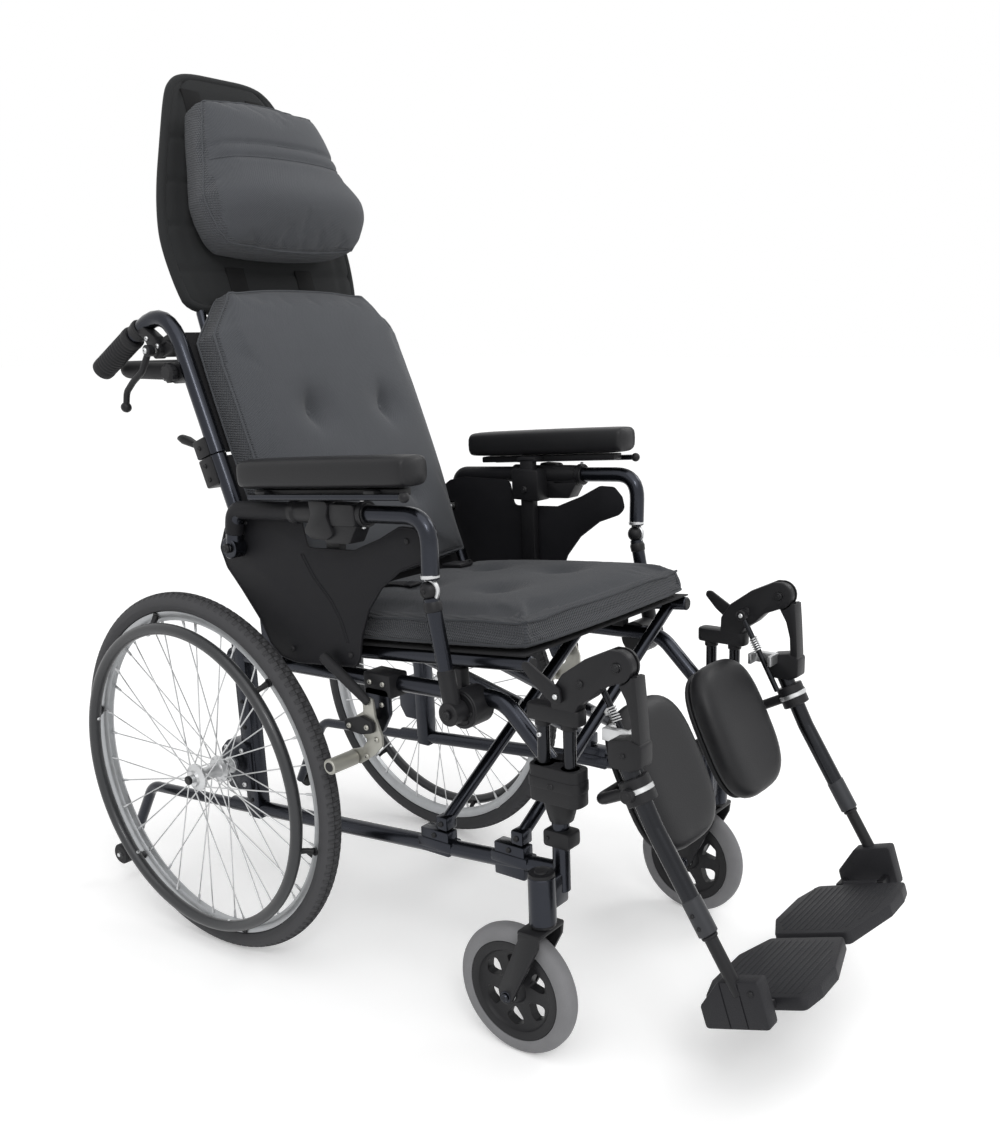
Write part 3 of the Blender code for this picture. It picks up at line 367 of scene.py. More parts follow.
STEEL = Coated("frame_coat", (44, 46, 52), "frame_metal")
LEG_COAT = Coated("leg_coat", (38, 39, 42), "frame_metal")
SLEEVE = Coated("grey_sleeve", (50, 51, 54), "frame_metal", 0.7, 0.34, 0.15)
ZINC = Brushed("zinc_plate", (168, 167, 160), "bright_metal", 0.36)
BRIGHT = Brushed("bright_steel", (205, 206, 207), "bright_metal")
ALLOY = Brushed("rim_alloy", (176, 178, 180), "bright_metal", 0.34, (1.0, 6.0, 6.0))
DARK_RIM = Coated("hand_rim_coat", (44, 45, 47), "black_plastic", 0.35, 0.36, 0.25)
PLASTIC = Moulded("black_plastic_fine", (31, 31, 33), "black_plastic", 0.42, 1500.0, 0.18, 0.22)
PANEL = Moulded("black_plastic_sand", (27, 27, 30), "black_plastic", 0.54, 1900.0, 0.35, 0.16)
PLATE = Moulded("footplate_grain", (38, 38, 41), "black_plastic", 0.58, 620.0, 0.55, 0.22)
GRIP = Moulded("grip_rubber", (35, 35, 37), "black_plastic", 0.62, 800.0, 0.3, 0.22)
SKIN = Moulded("pad_skin", (30, 30, 32), "black_vinyl", 0.44, 520.0, 0.22, 0.26)
CASTER_RUBBER = Moulded("caster_rubber_grey", (122, 122, 124), "caster_rubber", 0.62, 1100.0, 0.2, 0.35)
VINYL = Woven("sling_cloth", (34, 34, 36), "black_vinyl", Weave.PLAIN, 0.0022, 0.0, 0.4, 0.04)
WEBBING = Woven("belt_webbing", (30, 30, 32), "black_fabric", Weave.RIB, 0.0024, 0.0, 0.6, 0.05)
HOOK = Woven("hook_tape", (24, 24, 25), "black_fabric", Weave.LOOP, 0.0011, 0.0, 0.8, 0.05)


class Side(Enum):
    """The sitter's right is at -X, the left at +X."""

    RIGHT = -1
    LEFT = 1

    @property
    def word(self) -> str:
        """The side as names begin with it."""
        return self.name.lower()


@dataclass
class Layout:
    """Sizes that several sub-assemblies share, in metres, with Y counted from the rear axle."""

    axle_y: float
    tube: float = 0.0125
    frame_x: float = 0.208
    wheel_r: float = 0.305
    seat_front: float = -0.632
    seat_rear: float = -0.16
    seat_slope: float = 0.0854
    seat_rail: float = 0.531
    seat_tube: float = 0.011
    back_angle: float = 20.5
    back_y: float = -0.072
    back_z: float = 0.755
    cane_x: float = 0.2265
    head_angle: float = 15.0
    head_y: float = 0.052
    head_z: float = 1.030
    foot_y: float = -0.956
    foot_z: float = 0.165
    foot_pitch: float = 18.0
    recline: tuple[float, float] = (-0.135, 0.522)
    link: tuple[float, float] = (0.032, 0.168)
    arm_post: tuple[float, float] = (-0.532, 0.5)
    low_rail: float = 0.222
    low_slope: float = 0.0822
    brace_feet: tuple[float, float] = (-0.458, -0.6)
    lock: tuple[float, float] = (-0.348, 0.448)
    caster_x: float = 0.249
    stem_y: float = -0.668
    hanger_x: float = 0.2315
    hanger_tubes: tuple[float, float] = (-0.665, -0.708)
    latch_top: float = 0.446
    fold: float = 0.075
    bar: tuple[float, float] = (0.214, -0.025)
    head_tube: float = 0.155

    @staticmethod
    def leaning(angle: float, s: float, w: float) -> tuple[float, float]:
        """A point s up a line that leans back by an angle, and w forward of it."""
        a = radians(angle)
        return s * sin(a) - w * cos(a), s * cos(a) + w * sin(a)

    def back(self, x: float, s: float, w: float) -> Point:
        """A point on the backrest: s up along the cane, w forward of it."""
        y, z = self.leaning(self.back_angle, s, w)
        return x, self.back_y + y, self.back_z + z

    def head(self, x: float, s: float, w: float) -> Point:
        """A point on the head support: s up its tubes, w forward."""
        y, z = self.leaning(self.head_angle, s, w)
        return x, self.head_y + y, self.head_z + z

    def foot(self, x: float, a: float, n: float) -> Point:
        """A point on the footplate: a to the toe, n up off it."""
        p = radians(self.foot_pitch)
        return (x, self.foot_y - a * cos(p) + n * sin(p), self.foot_z + a * sin(p) + n * cos(p))

    @property
    def arm_pin(self) -> tuple[float, float]:
        """The (y, z) place of the arm's rear pivot, on the lower cane."""
        return self.recline[0] + self.link[0], self.recline[1] + self.link[1]

    @property
    def link_top(self) -> tuple[float, float]:
        """The (y, z) place of the arm's front pivot, on the link."""
        return self.arm_post[0] + self.link[0], self.arm_post[1] + self.link[1]

    def brace_foot(self, y: float) -> float:
        """The height that the cross-brace's feet are counted from."""
        return self.low_rail + self.low_slope * -y

    def seat(self, y: float) -> float:
        """The height of the seat rail's centre line."""
        return self.seat_rail + (self.seat_rear - y) * self.seat_slope


def mm(*points: Point) -> list[tuple[float, ...]]:
    """Points given in millimetres, in metres."""
    return [tuple(value / 1000 for value in p) for p in points]


def loft(rows: int, cols: int, loop: bool = False, base: int = 0) -> list[Face]:
    """The faces between rows of points that each go round.

    Args:
        rows: how many rows there are.
        cols: the points in each.
        loop: whether the last row joins the first.
        base: the first point's number.
    Returns:
        The faces, all with four corners.
    """
    faces = []
    for i in range(rows if loop else rows - 1):
        a, b = base + i * cols, base + (i + 1) % rows * cols
        faces += [(a + k, a + (k + 1) % cols, b + (k + 1) % cols, b + k) for k in range(cols)]
    return faces


def caps(rows: int, cols: int) -> list[Face]:
    """The two end faces of such rows."""
    return [tuple(range(cols - 1, -1, -1)), tuple(range((rows - 1) * cols, rows * cols))]


def unit(vector: Point) -> np.ndarray:
    """A vector made one long."""
    v = np.array(vector, float)
    return v / np.linalg.norm(v)


def signed(value: float, power: float) -> float:
    """A number's size raised to a power, with its sign kept."""
    return copysign(abs(value) ** power, value)


def fillet(path: Sequence[Point], radius: float, steps: int = 8) -> list[np.ndarray]:
    """A path with its inner corners rounded.

    Args:
        path: the corner points.
        radius: about the arcs' radius.
        steps: the parts of each arc.
    Returns:
        The rounded path's points.
    """
    pts = [np.array(p, float) for p in path]
    out = [pts[0]]
    for a, b, c in zip(pts, pts[1:], pts[2:]):
        u, v = unit(a - b), unit(c - b)
        half = acos(max(-1.0, min(1.0, float(u @ v)))) / 2
        cut = min(radius / tan(half), 0.49 * np.linalg.norm(a - b), 0.49 * np.linalg.norm(c - b))
        p, q = b + u * cut, b + v * cut
        for k in range(steps + 1):
            t = k / steps
            out.append((1 - t) ** 2 * p + 2 * t * (1 - t) * b + t * t * q)
    out.append(pts[-1])
    return out


def tube(path: Sequence[Point], radius: float | Sequence[float], sides: int = 20, bend: float = 0.0,
         flat: float = 1.0, loop: bool = False) -> Solid:
    """A round bar along a path, with eased ends.

    Args:
        path: the centre line.
        radius: one number, or one for each point.
        sides: points round the bar.
        bend: the radius of the path's corners.
        flat: the bar's second radius over its first.
        loop: whether the path closes on itself.
    Returns:
        The bar's points and faces.
    """
    pts = fillet(path, bend) if bend else [np.array(p, float) for p in path]
    radii = [radius] * len(pts) if isinstance(radius, (int, float)) else list(radius)
    if not loop:
        ease = min(0.0012, 0.25 * min(radii))
        first, last = unit(pts[1] - pts[0]), unit(pts[-2] - pts[-1])
        pts = [pts[0], pts[0] + first * ease, *pts[1:-1], pts[-1] + last * ease, pts[-1]]
        radii = [radii[0] - ease, radii[0], *radii[1:-1], radii[-1], radii[-1] - ease]
    n = len(pts)
    tangents = []
    for i in range(n):
        ahead = pts[(i + 1) % n] if loop else pts[min(i + 1, n - 1)]
        behind = pts[i - 1] if loop else pts[max(i - 1, 0)]
        tangents.append(unit(ahead - behind))
    ref = np.array([1.0, 0, 0]) if abs(tangents[0][0]) < 0.8 else np.array([0, 0, 1.0])
    verts = []
    for p, t, r in zip(pts, tangents, radii):
        ref = side = unit(ref - t * (ref @ t))
        other = np.cross(t, side) * flat
        for k in range(sides):
            a = 2 * pi * (k + 0.5) / sides
            verts.append(p + r * (cos(a) * side + sin(a) * other))
    return verts, loft(n, sides, loop) + ([] if loop else caps(n, sides))


def bar(x0: float, x1: float, y: float, z: float, radius: float, sides: int = 24) -> Solid:
    """A round pin along X."""
    return tube([(x0, y, z), (x1, y, z)], radius, sides)


def box(lo: Point, hi: Point) -> Solid:
    """An upright block between two corners."""
    (a, b, c), (d, e, f) = lo, hi
    verts = [(a, b, c), (d, b, c), (d, e, c), (a, e, c), (a, b, f), (d, b, f), (d, e, f), (a, e, f)]
    faces = [(3, 2, 1, 0), (4, 5, 6, 7), (0, 1, 5, 4), (1, 2, 6, 5), (2, 3, 7, 6), (3, 0, 4, 7)]
    return verts, faces


def slab(outline: Sequence[Point], x0: float, x1: float) -> Solid:
    """An outline of (y, z) points run along X."""
    n = len(outline)
    verts = [(x0, y, z) for y, z in outline] + [(x1, y, z) for y, z in outline]
    faces = [tuple(range(n - 1, -1, -1)), tuple(range(n, 2 * n))]
    faces += [(k, (k + 1) % n, n + (k + 1) % n, n + k) for k in range(n)]
    return verts, faces


def plan(outline: Sequence[Point], z0: float, z1: float) -> Solid:
    """An outline of (x, y) points run up from z0 to z1."""
    verts, faces = slab(outline, z0, z1)
    return [(y, z, x) for x, y, z in verts], faces


def eased(outline: Sequence[Point], radius: float, steps: int = 4) -> list[tuple[float, float]]:
    """A closed outline with its corners rounded."""
    pts = [(p[0], p[1], 0.0) for p in outline]
    mid = tuple((np.array(pts[-1]) + np.array(pts[0])) / 2)
    return [(p[0], p[1]) for p in fillet([mid, *pts, mid], radius, steps)[1:-1]]


def ball(centre: Point, radius: float, rows: int = 12, cols: int = 20) -> Solid:
    """A round knob."""
    verts = [(centre[0], centre[1], centre[2] + radius)]
    for i in range(1, rows):
        a = pi * i / rows
        for k in range(cols):
            b = 2 * pi * k / cols
            verts.append((centre[0] + radius * sin(a) * cos(b), centre[1] + radius * sin(a) * sin(b),
                          centre[2] + radius * cos(a)))
    verts.append((centre[0], centre[1], centre[2] - radius))
    last = len(verts) - 1
    faces = [(0, 1 + k, 1 + (k + 1) % cols) for k in range(cols)]
    faces += loft(rows - 1, cols, base=1)
    a = 1 + (rows - 2) * cols
    faces += [(a + k, last, a + (k + 1) % cols) for k in range(cols)]
    return verts, faces


def ringed(profile: Sequence[Point], y: float, z: float, steps: int = 96) -> Solid:
    """A closed profile of (x, r) points turned about the X axis through (y, z)."""
    verts = []
    for k in range(steps):
        a = 2 * pi * k / steps
        verts += [(x, y + r * cos(a), z + r * sin(a)) for x, r in profile]
    return verts, loft(steps, len(profile), True)


def arc(cy: float, cz: float, radius: float, start: float, stop: float,
        steps: int) -> list[tuple[float, float]]:
    """Points on an arc, with angles in degrees."""
    angles = np.radians(np.linspace(start, stop, steps))
    return [(cy + radius * cos(a), cz + radius * sin(a)) for a in angles]


def worked(solid: Solid, step: Callable[[bmesh.types.BMesh], None]) -> Solid:
    """A solid after a step on its bmesh.

    Args:
        solid: points and faces.
        step: what is done to the bmesh.
    Returns:
        The new points and faces.
    """
    work = bmesh.new()
    points = [work.verts.new(v) for v in solid[0]]
    for face in solid[1]:
        work.faces.new([points[i] for i in face])
    step(work)
    work.verts.index_update()
    out = [tuple(v.co) for v in work.verts], [tuple(v.index for v in f.verts) for f in work.faces]
    work.free()
    return out


def bevelled(solid: Solid, width: float, angle: float = 30.0) -> Solid:
    """A solid with its sharp edges rounded off.

    Args:
        solid: points and faces.
        width: the rounding's width in metres.
        angle: edges that turn more than this, in degrees, are rounded.
    Returns:
        The rounded points and faces.
    """
    def ease(work: bmesh.types.BMesh) -> None:
        bmesh.ops.recalc_face_normals(work, faces=work.faces)
        sharp = [e for e in work.edges if len(e.link_faces) == 2 and e.calc_face_angle(0) > radians(angle)]
        bmesh.ops.bevel(work, geom=sharp, offset=width, segments=2, profile=0.5, affect="EDGES",
                        clamp_overlap=True)

    return worked(solid, ease)


def outward(mesh: bpy.types.Mesh) -> None:
    """Turns a mesh's faces outward."""
    work = bmesh.new()
    work.from_mesh(mesh)
    bmesh.ops.recalc_face_normals(work, faces=work.faces)
    work.to_mesh(mesh)
    work.free()


def linked(name: str, data: bpy.types.ID) -> bpy.types.Object:
    """A new object in the scene."""
    made = bpy.data.objects.new(name, data)
    bpy.context.scene.collection.objects.link(made)
    return made


def scratch(solid: Solid) -> bpy.types.Object:
    """A passing object that holds a solid while a modifier works on it."""
    mesh = bpy.data.meshes.new("scratch")
    mesh.from_pydata([tuple(map(float, v)) for v in solid[0]], [], solid[1])
    outward(mesh)
    return linked("scratch", mesh)


def settled(thing: bpy.types.Object) -> bpy.types.Mesh:
    """The object's mesh with its modifiers worked in."""
    graph = bpy.context.evaluated_depsgraph_get()
    return bpy.data.meshes.new_from_object(thing.evaluated_get(graph))


def as_solid(mesh: bpy.types.Mesh) -> Solid:
    """A mesh's points and faces."""
    return [tuple(v.co) for v in mesh.vertices], [tuple(p.vertices) for p in mesh.polygons]


def carved(solid: Solid, cutters: Iterable[Solid]) -> Solid:
    """A solid with cutters taken out of it."""
    thing = scratch(solid)
    tools = [scratch(c) for c in cutters]
    for tool in tools:
        step = thing.modifiers.new("cut", "BOOLEAN")
        step.operation = "DIFFERENCE"
        step.solver = "EXACT"
        step.object = tool
    out = as_solid(settled(thing))
    for old in (thing, *tools):
        bpy.data.objects.remove(old, do_unlink=True)
    return out


def as_is(x: float, y: float, z: float) -> Point:
    """The frame of what is drawn in its place."""
    return x, y, z


class Shape:
    """Gathers solids, each with its finish, into one piece of the chair."""

    def __init__(self, name: str, lay: Layout, hand: int = 1, frame: Frame = as_is) -> None:
        self.name = name
        self.lay = lay
        self.hand = hand
        self.frame = frame
        self.verts: list[Point] = []
        self.faces: list[Face] = []
        self.marks: list[int] = []
        self.finishes: list[Finish] = []

    def add(self, solid: Solid, finish: Finish = PLASTIC, frame: Frame | None = None,
            bevel: float = 0.0) -> "Shape":
        """Takes one more solid in.

        Args:
            solid: points and faces.
            finish: what it is made of.
            frame: takes the points to their place, where it isn't the piece's own frame.
            bevel: the width that sharp edges are rounded by.
        Returns:
            The shape itself.
        """
        if bevel:
            solid = bevelled(solid, bevel)
        if finish not in self.finishes:
            self.finishes.append(finish)
        base = len(self.verts)
        place = frame or self.frame
        self.verts += [place(*v) for v in solid[0]]
        self.faces += [tuple(base + i for i in f) for f in solid[1]]
        self.marks += [self.finishes.index(finish)] * len(solid[1])
        return self

    def screw(self, at: Point, radius: float, finish: Finish = PLASTIC, axis: Point = (1, 0, 0),
              frame: Frame | None = None) -> "Shape":
        """A domed screw head, with a dark disc on its top as painted shade for the socket.

        Args:
            at: the middle of its seat.
            radius: the head's radius.
            finish: what the head is made of.
            axis: where the head faces.
            frame: as for add.
        Returns:
            The shape itself.
        """
        a = unit(axis)
        p = np.array(at, float)
        head = [p - a * 0.001, p + a * radius * 0.35, p + a * radius * 0.62, p + a * radius * 0.7]
        self.add(tube(head, [radius, radius, radius * 0.8, radius * 0.5], 16), finish, frame)
        # Painted shade: a dark plastic disc stands in for the shaded socket in the head.
        return self.add(tube([p + a * radius * 0.4, p + a * radius * 0.74], radius * 0.38, 6), PLASTIC,
                        frame)

    def done(self, body: str, nodes: Sequence[str] = (), sharp: float = 34.0) -> bpy.types.Object:
        """Makes the piece, and has it ride on its body.

        Args:
            body: the body's name.
            nodes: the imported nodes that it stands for.
            sharp: faces that meet at a larger angle than this keep a hard edge.
        Returns:
            The piece.
        """
        shift = self.lay.axle_y
        verts = [(self.hand * float(x), float(y) + shift, float(z)) for x, y, z in self.verts]
        mesh = bpy.data.meshes.new(self.name)
        mesh.from_pydata(verts, [], self.faces)
        mesh.polygons.foreach_set("material_index", self.marks)
        for finish in self.finishes:
            mesh.materials.append(finish.material())
        outward(mesh)
        mesh.shade_smooth()
        mesh.set_sharp_from_angle(angle=radians(sharp))
        made = linked(self.name, mesh)
        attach(made, body)
        if nodes:
            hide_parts(*nodes)
        LOG.info("%s on %s", self.name, body)
        return made


def top_of(tree: BVHTree, u: float, v: float, missing: float) -> float:
    """A surface's height over a point, or the given one where there is none."""
    hit = tree.ray_cast(Vector((u, v, 0.3)), Vector((0, 0, -1)))[0]
    return hit.z if hit else missing


@dataclass
class Cushion:
    """A stuffed slab in (u, v, w): worked out as a grid, then blown up with cloth."""

    half_w: float
    half_l: float
    thick: float
    crown: float
    shape: Callable[[float, float], float]
    lower: float = 0.12
    edge: float = 0.66
    corner: float = 0.035
    voxel: float = 0.006
    pressure: float = 4.0
    cap: float = 0.008
    shrink: float = 0.003
    cells: int = 36

    def grid(self) -> Solid:
        """The slab before it is blown up: an eased outline, full at mid height, with a domed top."""
        n = self.cells
        ease = [signed(t, 0.8) for t in np.linspace(-1, 1, n + 1)]
        verts: list[Point] = []
        faces: list[Face] = []
        index: dict[tuple[int, int, int], int] = {}

        def rounded(u: float, v: float) -> tuple[float, float]:
            k = 1 - self.corner * u * u * v * v
            return u * (self.half_w - self.shrink) * k, v * (self.half_l - self.shrink) * k

        for level in (0, 1):
            for j, v in enumerate(ease):
                for i, u in enumerate(ease):
                    x, y = rounded(u, v)
                    dome = (1 - abs(u) ** 2.6) * (1 - abs(v) ** 2.6)
                    draw = 0.988 if max(abs(u), abs(v)) > 0.99 else 1.0
                    rise = (self.thick * (1 - self.edge) + self.crown) * dome ** 0.55
                    floor = self.thick * self.lower * (1 - dome ** 0.5)
                    w = self.thick * self.edge + rise - self.shrink if level else floor
                    index[level, i, j] = len(verts)
                    verts.append((x * draw, y * draw, w))
        edge = [(i, 0) for i in range(n)] + [(n, j) for j in range(n)]
        edge += [(i, n) for i in range(n, 0, -1)] + [(0, j) for j in range(n, 0, -1)]
        belt = {}
        for i, j in edge:
            x, y = rounded(ease[i], ease[j])
            belt[i, j] = len(verts)
            verts.append((x, y, self.thick * 0.45))
        for j in range(n):
            for i in range(n):
                ring = (i, j), (i + 1, j), (i + 1, j + 1), (i, j + 1)
                faces.append(tuple(index[(1, *p)] for p in ring))
                faces.append(tuple(index[(0, *p)] for p in reversed(ring)))
        for p, q in zip(edge, edge[1:] + edge[:1]):
            faces.append((index[(0, *p)], index[(0, *q)], belt[q], belt[p]))
            faces.append((belt[p], belt[q], index[(1, *q)], index[(1, *p)]))
        return verts, faces

    def blown(self) -> tuple[np.ndarray, list[Face]]:
        """The slab's points and faces once the cloth has filled out, with its movement held to the cap."""
        thing = scratch(self.grid())
        step = thing.modifiers.new("even", "REMESH")
        step.mode = "VOXEL"
        step.voxel_size = self.voxel
        even = settled(thing)
        thing.modifiers.clear()
        thing.data = even
        start = np.array([v.co for v in even.vertices])
        faces = [tuple(p.vertices) for p in even.polygons]
        end = start
        low = thing.vertex_groups.new(name="held")
        low.add([k for k, p in enumerate(start) if p[2] < self.thick * 0.2], 1.0, "REPLACE")
        cloth = thing.modifiers.new("fill", "CLOTH")
        cloth.settings.use_pressure = True
        cloth.settings.uniform_pressure_force = self.pressure
        cloth.settings.effector_weights.gravity = 0
        cloth.settings.quality = 4
        cloth.settings.vertex_group_mass = "held"
        cloth.point_cache.frame_start = 1
        cloth.point_cache.frame_end = 20
        scene = bpy.context.scene
        for frame in range(1, 21):
            scene.frame_set(frame)
        end = np.array([v.co for v in settled(thing).vertices])
        scene.frame_set(1)
        bpy.data.objects.remove(thing, do_unlink=True)
        move = end - start
        size = np.maximum(np.linalg.norm(move, axis=1, keepdims=True), 1e-9)
        return start + move * np.minimum(1.0, self.cap / size), faces

    def pressed(self, points: np.ndarray) -> np.ndarray:
        """The points with the channels and tufts pressed into the top."""
        out = points.copy()
        for k, (x, y, w) in enumerate(points):
            if w > self.thick * 0.45:
                u = max(-1.0, min(1.0, x / self.half_w))
                v = max(-1.0, min(1.0, y / self.half_l))
                fade = min(1.0, (w / self.thick - 0.45) * 4)
                out[k, 2] += self.shape(u, v) * fade
        return out

    def sew(self, name: str, lay: Layout, body: str, node: str, frame: Frame, cloth: Sequence[Finish]) -> BVHTree:
        """Makes the cushion: blown up, pressed, put in place, its walls in the second cloth.

        Args:
            name: the piece's name.
            lay: the shared sizes.
            body: what it rides on.
            node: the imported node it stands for.
            frame: takes (u, v, w) to its place.
            cloth: the finishes of the faces and of the walls.
        Returns:
            Its surface in (u, v, w), for laying seams.
        """
        filled, faces = self.blown()
        points = self.pressed(filled)
        tree = BVHTree.FromPolygons([tuple(p) for p in points], faces)
        piece = Shape(name, lay)
        walls = []
        tops = []
        for face in faces:
            mid = filled[list(face)].mean(axis=0)
            rim = max(abs(mid[0]) / self.half_w, abs(mid[1]) / self.half_l) > 0.86
            (walls if rim and mid[2] < self.thick * (self.edge + 0.02) else tops).append(face)
        piece.finishes = list(cloth)
        piece.verts = [tuple(frame(*p)) for p in points]
        piece.faces = tops + walls
        piece.marks = [0] * len(tops) + [1] * len(walls)
        made = piece.done(body, [node], 180.0)
        smooth = made.modifiers.new("smooth", "SUBSURF")
        smooth.levels = 1
        smooth.render_levels = 1
        return tree

    def seam(self, tree: BVHTree, line: Sequence[Point], radius: float) -> Solid:
        """A stitched cord on the cushion's surface along a line, in (u, v, w)."""
        path = []
        for p in line:
            hit, normal, _, _ = tree.find_nearest(Vector(p))
            path.append(np.array(hit) + np.array(normal) * radius * 0.25)
        return tube(path, radius, 8, loop=np.linalg.norm(np.array(line[0]) - np.array(line[-1])) < 0.02)

    def border(self, height: float, count: int = 150, inset: float = 0.0) -> list[Point]:
        """Points round the cushion's edge at one height, in (u, v, w)."""
        out = []
        for k in range(count):
            a = 2 * pi * k / count
            c, s = cos(a), sin(a)
            scale = 1 / max(abs(c), abs(s))
            u, v = c * scale, s * scale
            pull = 1 - self.corner * u * u * v * v
            out.append((u * (self.half_w - inset) * pull, v * (self.half_l - inset) * pull, height))
        return out


class Part(Protocol):
    """A sub-assembly of the chair."""

    def build(self) -> None:
        """Makes its pieces."""


@dataclass
class Sided:
    """A sub-assembly that is made once for each side."""

    lay: Layout
    side: Side

    def start(self, name: str, frame: Frame = as_is) -> Shape:
        """An empty piece of this side, drawn in the given frame."""
        return Shape(f"{self.side.word}_{name}", self.lay, self.side.value, frame)

    def end(self, piece: Shape, body: str, node: str, sharp: float = 34.0) -> bpy.types.Object:
        """Makes a piece of this side.

        Args:
            piece: what was gathered.
            body: the body's name; one that begins with an underscore gets the side's word.
            node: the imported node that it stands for, without the side's word.
            sharp: as for Shape.done.
        Returns:
            The piece.
        """
        word = self.side.word
        return piece.done(word + body if body.startswith("_") else body, [f"{word}_{node}"], sharp)


@dataclass
class SideFrame(Sided):
    """The welded side frame: rails, posts, caster housing, latch block, axle, pivots and anti-tip tube."""

    low_front: float = 0.279
    rail_top: float = 0.5
    post_y: float = -0.672
    tip: tuple[float, float] = (0.352, 0.052)

    def low(self, y: float) -> float:
        """The height of the low rail's centre line."""
        run = (0.03 - y) / (0.03 - self.post_y)
        return self.lay.low_rail + run * (self.low_front - self.lay.low_rail)

    def build(self) -> None:
        """Makes the frame and its anti-tip roller."""
        lay, x, r = self.lay, self.lay.frame_x, self.lay.tube
        piece = self.start("frame_tubes")
        piece.add(tube([(x, 0.03, lay.low_rail), (x, self.post_y, self.low_front)], r), STEEL)
        piece.add(tube([(x, -0.006, self.rail_top - 0.006), (x, -0.58, self.rail_top + 0.012),
                        (x, self.post_y, 0.425), (x, self.post_y, self.low_front - 0.03)], r, bend=0.06),
                  STEEL)
        post = box((x - 0.013, -0.05, lay.low_rail - 0.01), (x + 0.013, -0.02, self.rail_top + 0.022))
        piece.add(post, STEEL, bevel=0.004)
        self.axle(piece)
        self.front_post(piece)
        self.pivots(piece)
        for y in (-0.25, -0.5):
            top = lay.seat(y + 0.012) - 0.0114
            piece.add(box((x - 0.009, y - 0.012, self.rail_top), (x + 0.009, y + 0.012, top)), bevel=0.002)
        for y in lay.brace_feet:
            top = lay.brace_foot(y) + 0.029
            piece.add(box((x - 0.011, y - 0.014, 0.25), (x + 0.011, y + 0.04, top)), STEEL, bevel=0.002)
            piece.add(box((x - 0.0132, y - 0.02, self.low(y) - 0.004),
                          (x + 0.0132, y + 0.046, self.low(y) + 0.0125)), STEEL, bevel=0.003)
            piece.screw((x + 0.011, y + 0.013, top - 0.008), 0.0042)
        ty, tz = self.tip
        piece.add(tube([(x, 0.0, lay.low_rail), (x, 0.262, 0.203), (x, 0.318, 0.115), (x, ty, tz)],
                       0.0095, 18, bend=0.04), STEEL)
        piece.add(bar(x, x + 0.033, ty, tz, 0.004, 14), BRIGHT)
        self.end(piece, "frame", "side_frame")
        roller = self.start("tip_wheel")
        profile = mm((10.7, 5.2), (28.3, 5.2), (28.3, 17.2), (26.2, 19.6), (12.8, 19.6), (10.7, 17.2))
        roller.add(ringed([(x + a, b) for a, b in profile], ty, tz, 40), GRIP)
        roller.add(bar(x + 0.0104, x + 0.0286, ty, tz, 0.0095, 20))
        self.end(roller, "_tip_roller", "anti_tip_roller")

    def axle(self, piece: Shape) -> None:
        """The axle plate with its bolts, the receiver and the quick-release axle."""
        x, z = self.lay.frame_x, self.lay.wheel_r
        plate = eased(mm((-44, 262), (10, 262), (24, 285), (24, 330), (6, 348), (-44, 348)), 0.008)
        piece.add(slab(plate, x - 0.01, x + 0.02), STEEL, bevel=0.0025)
        piece.add(bar(x, x + 0.0245, 0.0, z, 0.0145), BRIGHT)
        piece.add(bar(x, 0.3125, 0, z, 0.006), BRIGHT)
        piece.add(bar(0.3105, 0.3165, 0, z, 0.0075))
        for y, dz in mm((-30, -30), (-30, 30), (8, -28), (8, 30)):
            piece.screw((x + 0.02, y, z + dz), 0.0045, BRIGHT)
        for h in (0.245, 0.375, 0.42, 0.47):
            piece.screw((x + 0.013, -0.035, h), 0.0035)

    def front_post(self, piece: Shape) -> None:
        """The caster housing, its web to the post, and the legrest's latch block and pin."""
        x = self.lay.frame_x
        cx, sy = self.lay.caster_x, self.lay.stem_y
        piece.add(box((x - 0.006, sy - 0.012, 0.232), (cx, sy + 0.014, 0.28)), STEEL, bevel=0.004)
        piece.add(tube([(cx, sy, 0.2165), (cx, sy, 0.288)], 0.0195, 28), STEEL)
        piece.add(tube([(cx, sy, 0.2125), (cx, sy, 0.2175)], 0.0185, 28))
        piece.add(tube([(cx, sy, 0.287), (cx, sy, 0.2925), (cx, sy, 0.2945)], [0.0188, 0.018, 0.01], 28))
        hx, top = self.lay.hanger_x, self.lay.latch_top
        for grow, z0, z1 in ((0.0, 0.394, top), (0.0012, 0.414, 0.43)):
            inner, outer = x + 0.004, hx + 0.015 + grow
            latch = [(inner, -0.645 + grow), (outer, -0.645 + grow), (outer, -0.7285 - grow),
                     (inner, -0.7285 - grow)]
            piece.add(plan(eased(latch, 0.014), z0, z1), bevel=0.002)
        piece.add(tube([(x, self.post_y, 0.392), (x, self.post_y, 0.398), (x, self.post_y, top - 0.006),
                        (x, self.post_y, top)], [0.0175, 0.0195, 0.0195, 0.018], 28))
        for y, r in zip(self.lay.hanger_tubes, (0.015, 0.014)):
            piece.add(tube([(hx, y, 0.402), (hx, y, top)], r, 26))
        sleeve = mm((397, 25), (390, 25), (372, 20.5), (358, 17))
        piece.add(tube([(x + 0.005, self.post_y - 0.006, z) for z, _ in sleeve], [r for _, r in sleeve], 30))
        pin = self.lay.hanger_tubes[0]
        piece.add(tube([(hx, pin, top - 0.01), (hx, pin, top + 0.05)], 0.0054, 18), BRIGHT)
        piece.screw((hx + 0.015, -0.686, 0.42), 0.0048)
        low = eased(mm((-696, 318), (-652, 318), (-652, 343), (-696, 343)), 0.006)
        piece.add(slab(low, x - 0.014, x + 0.0155), bevel=0.003)
        piece.screw((x + 0.0155, -0.66, 0.331), 0.0032)

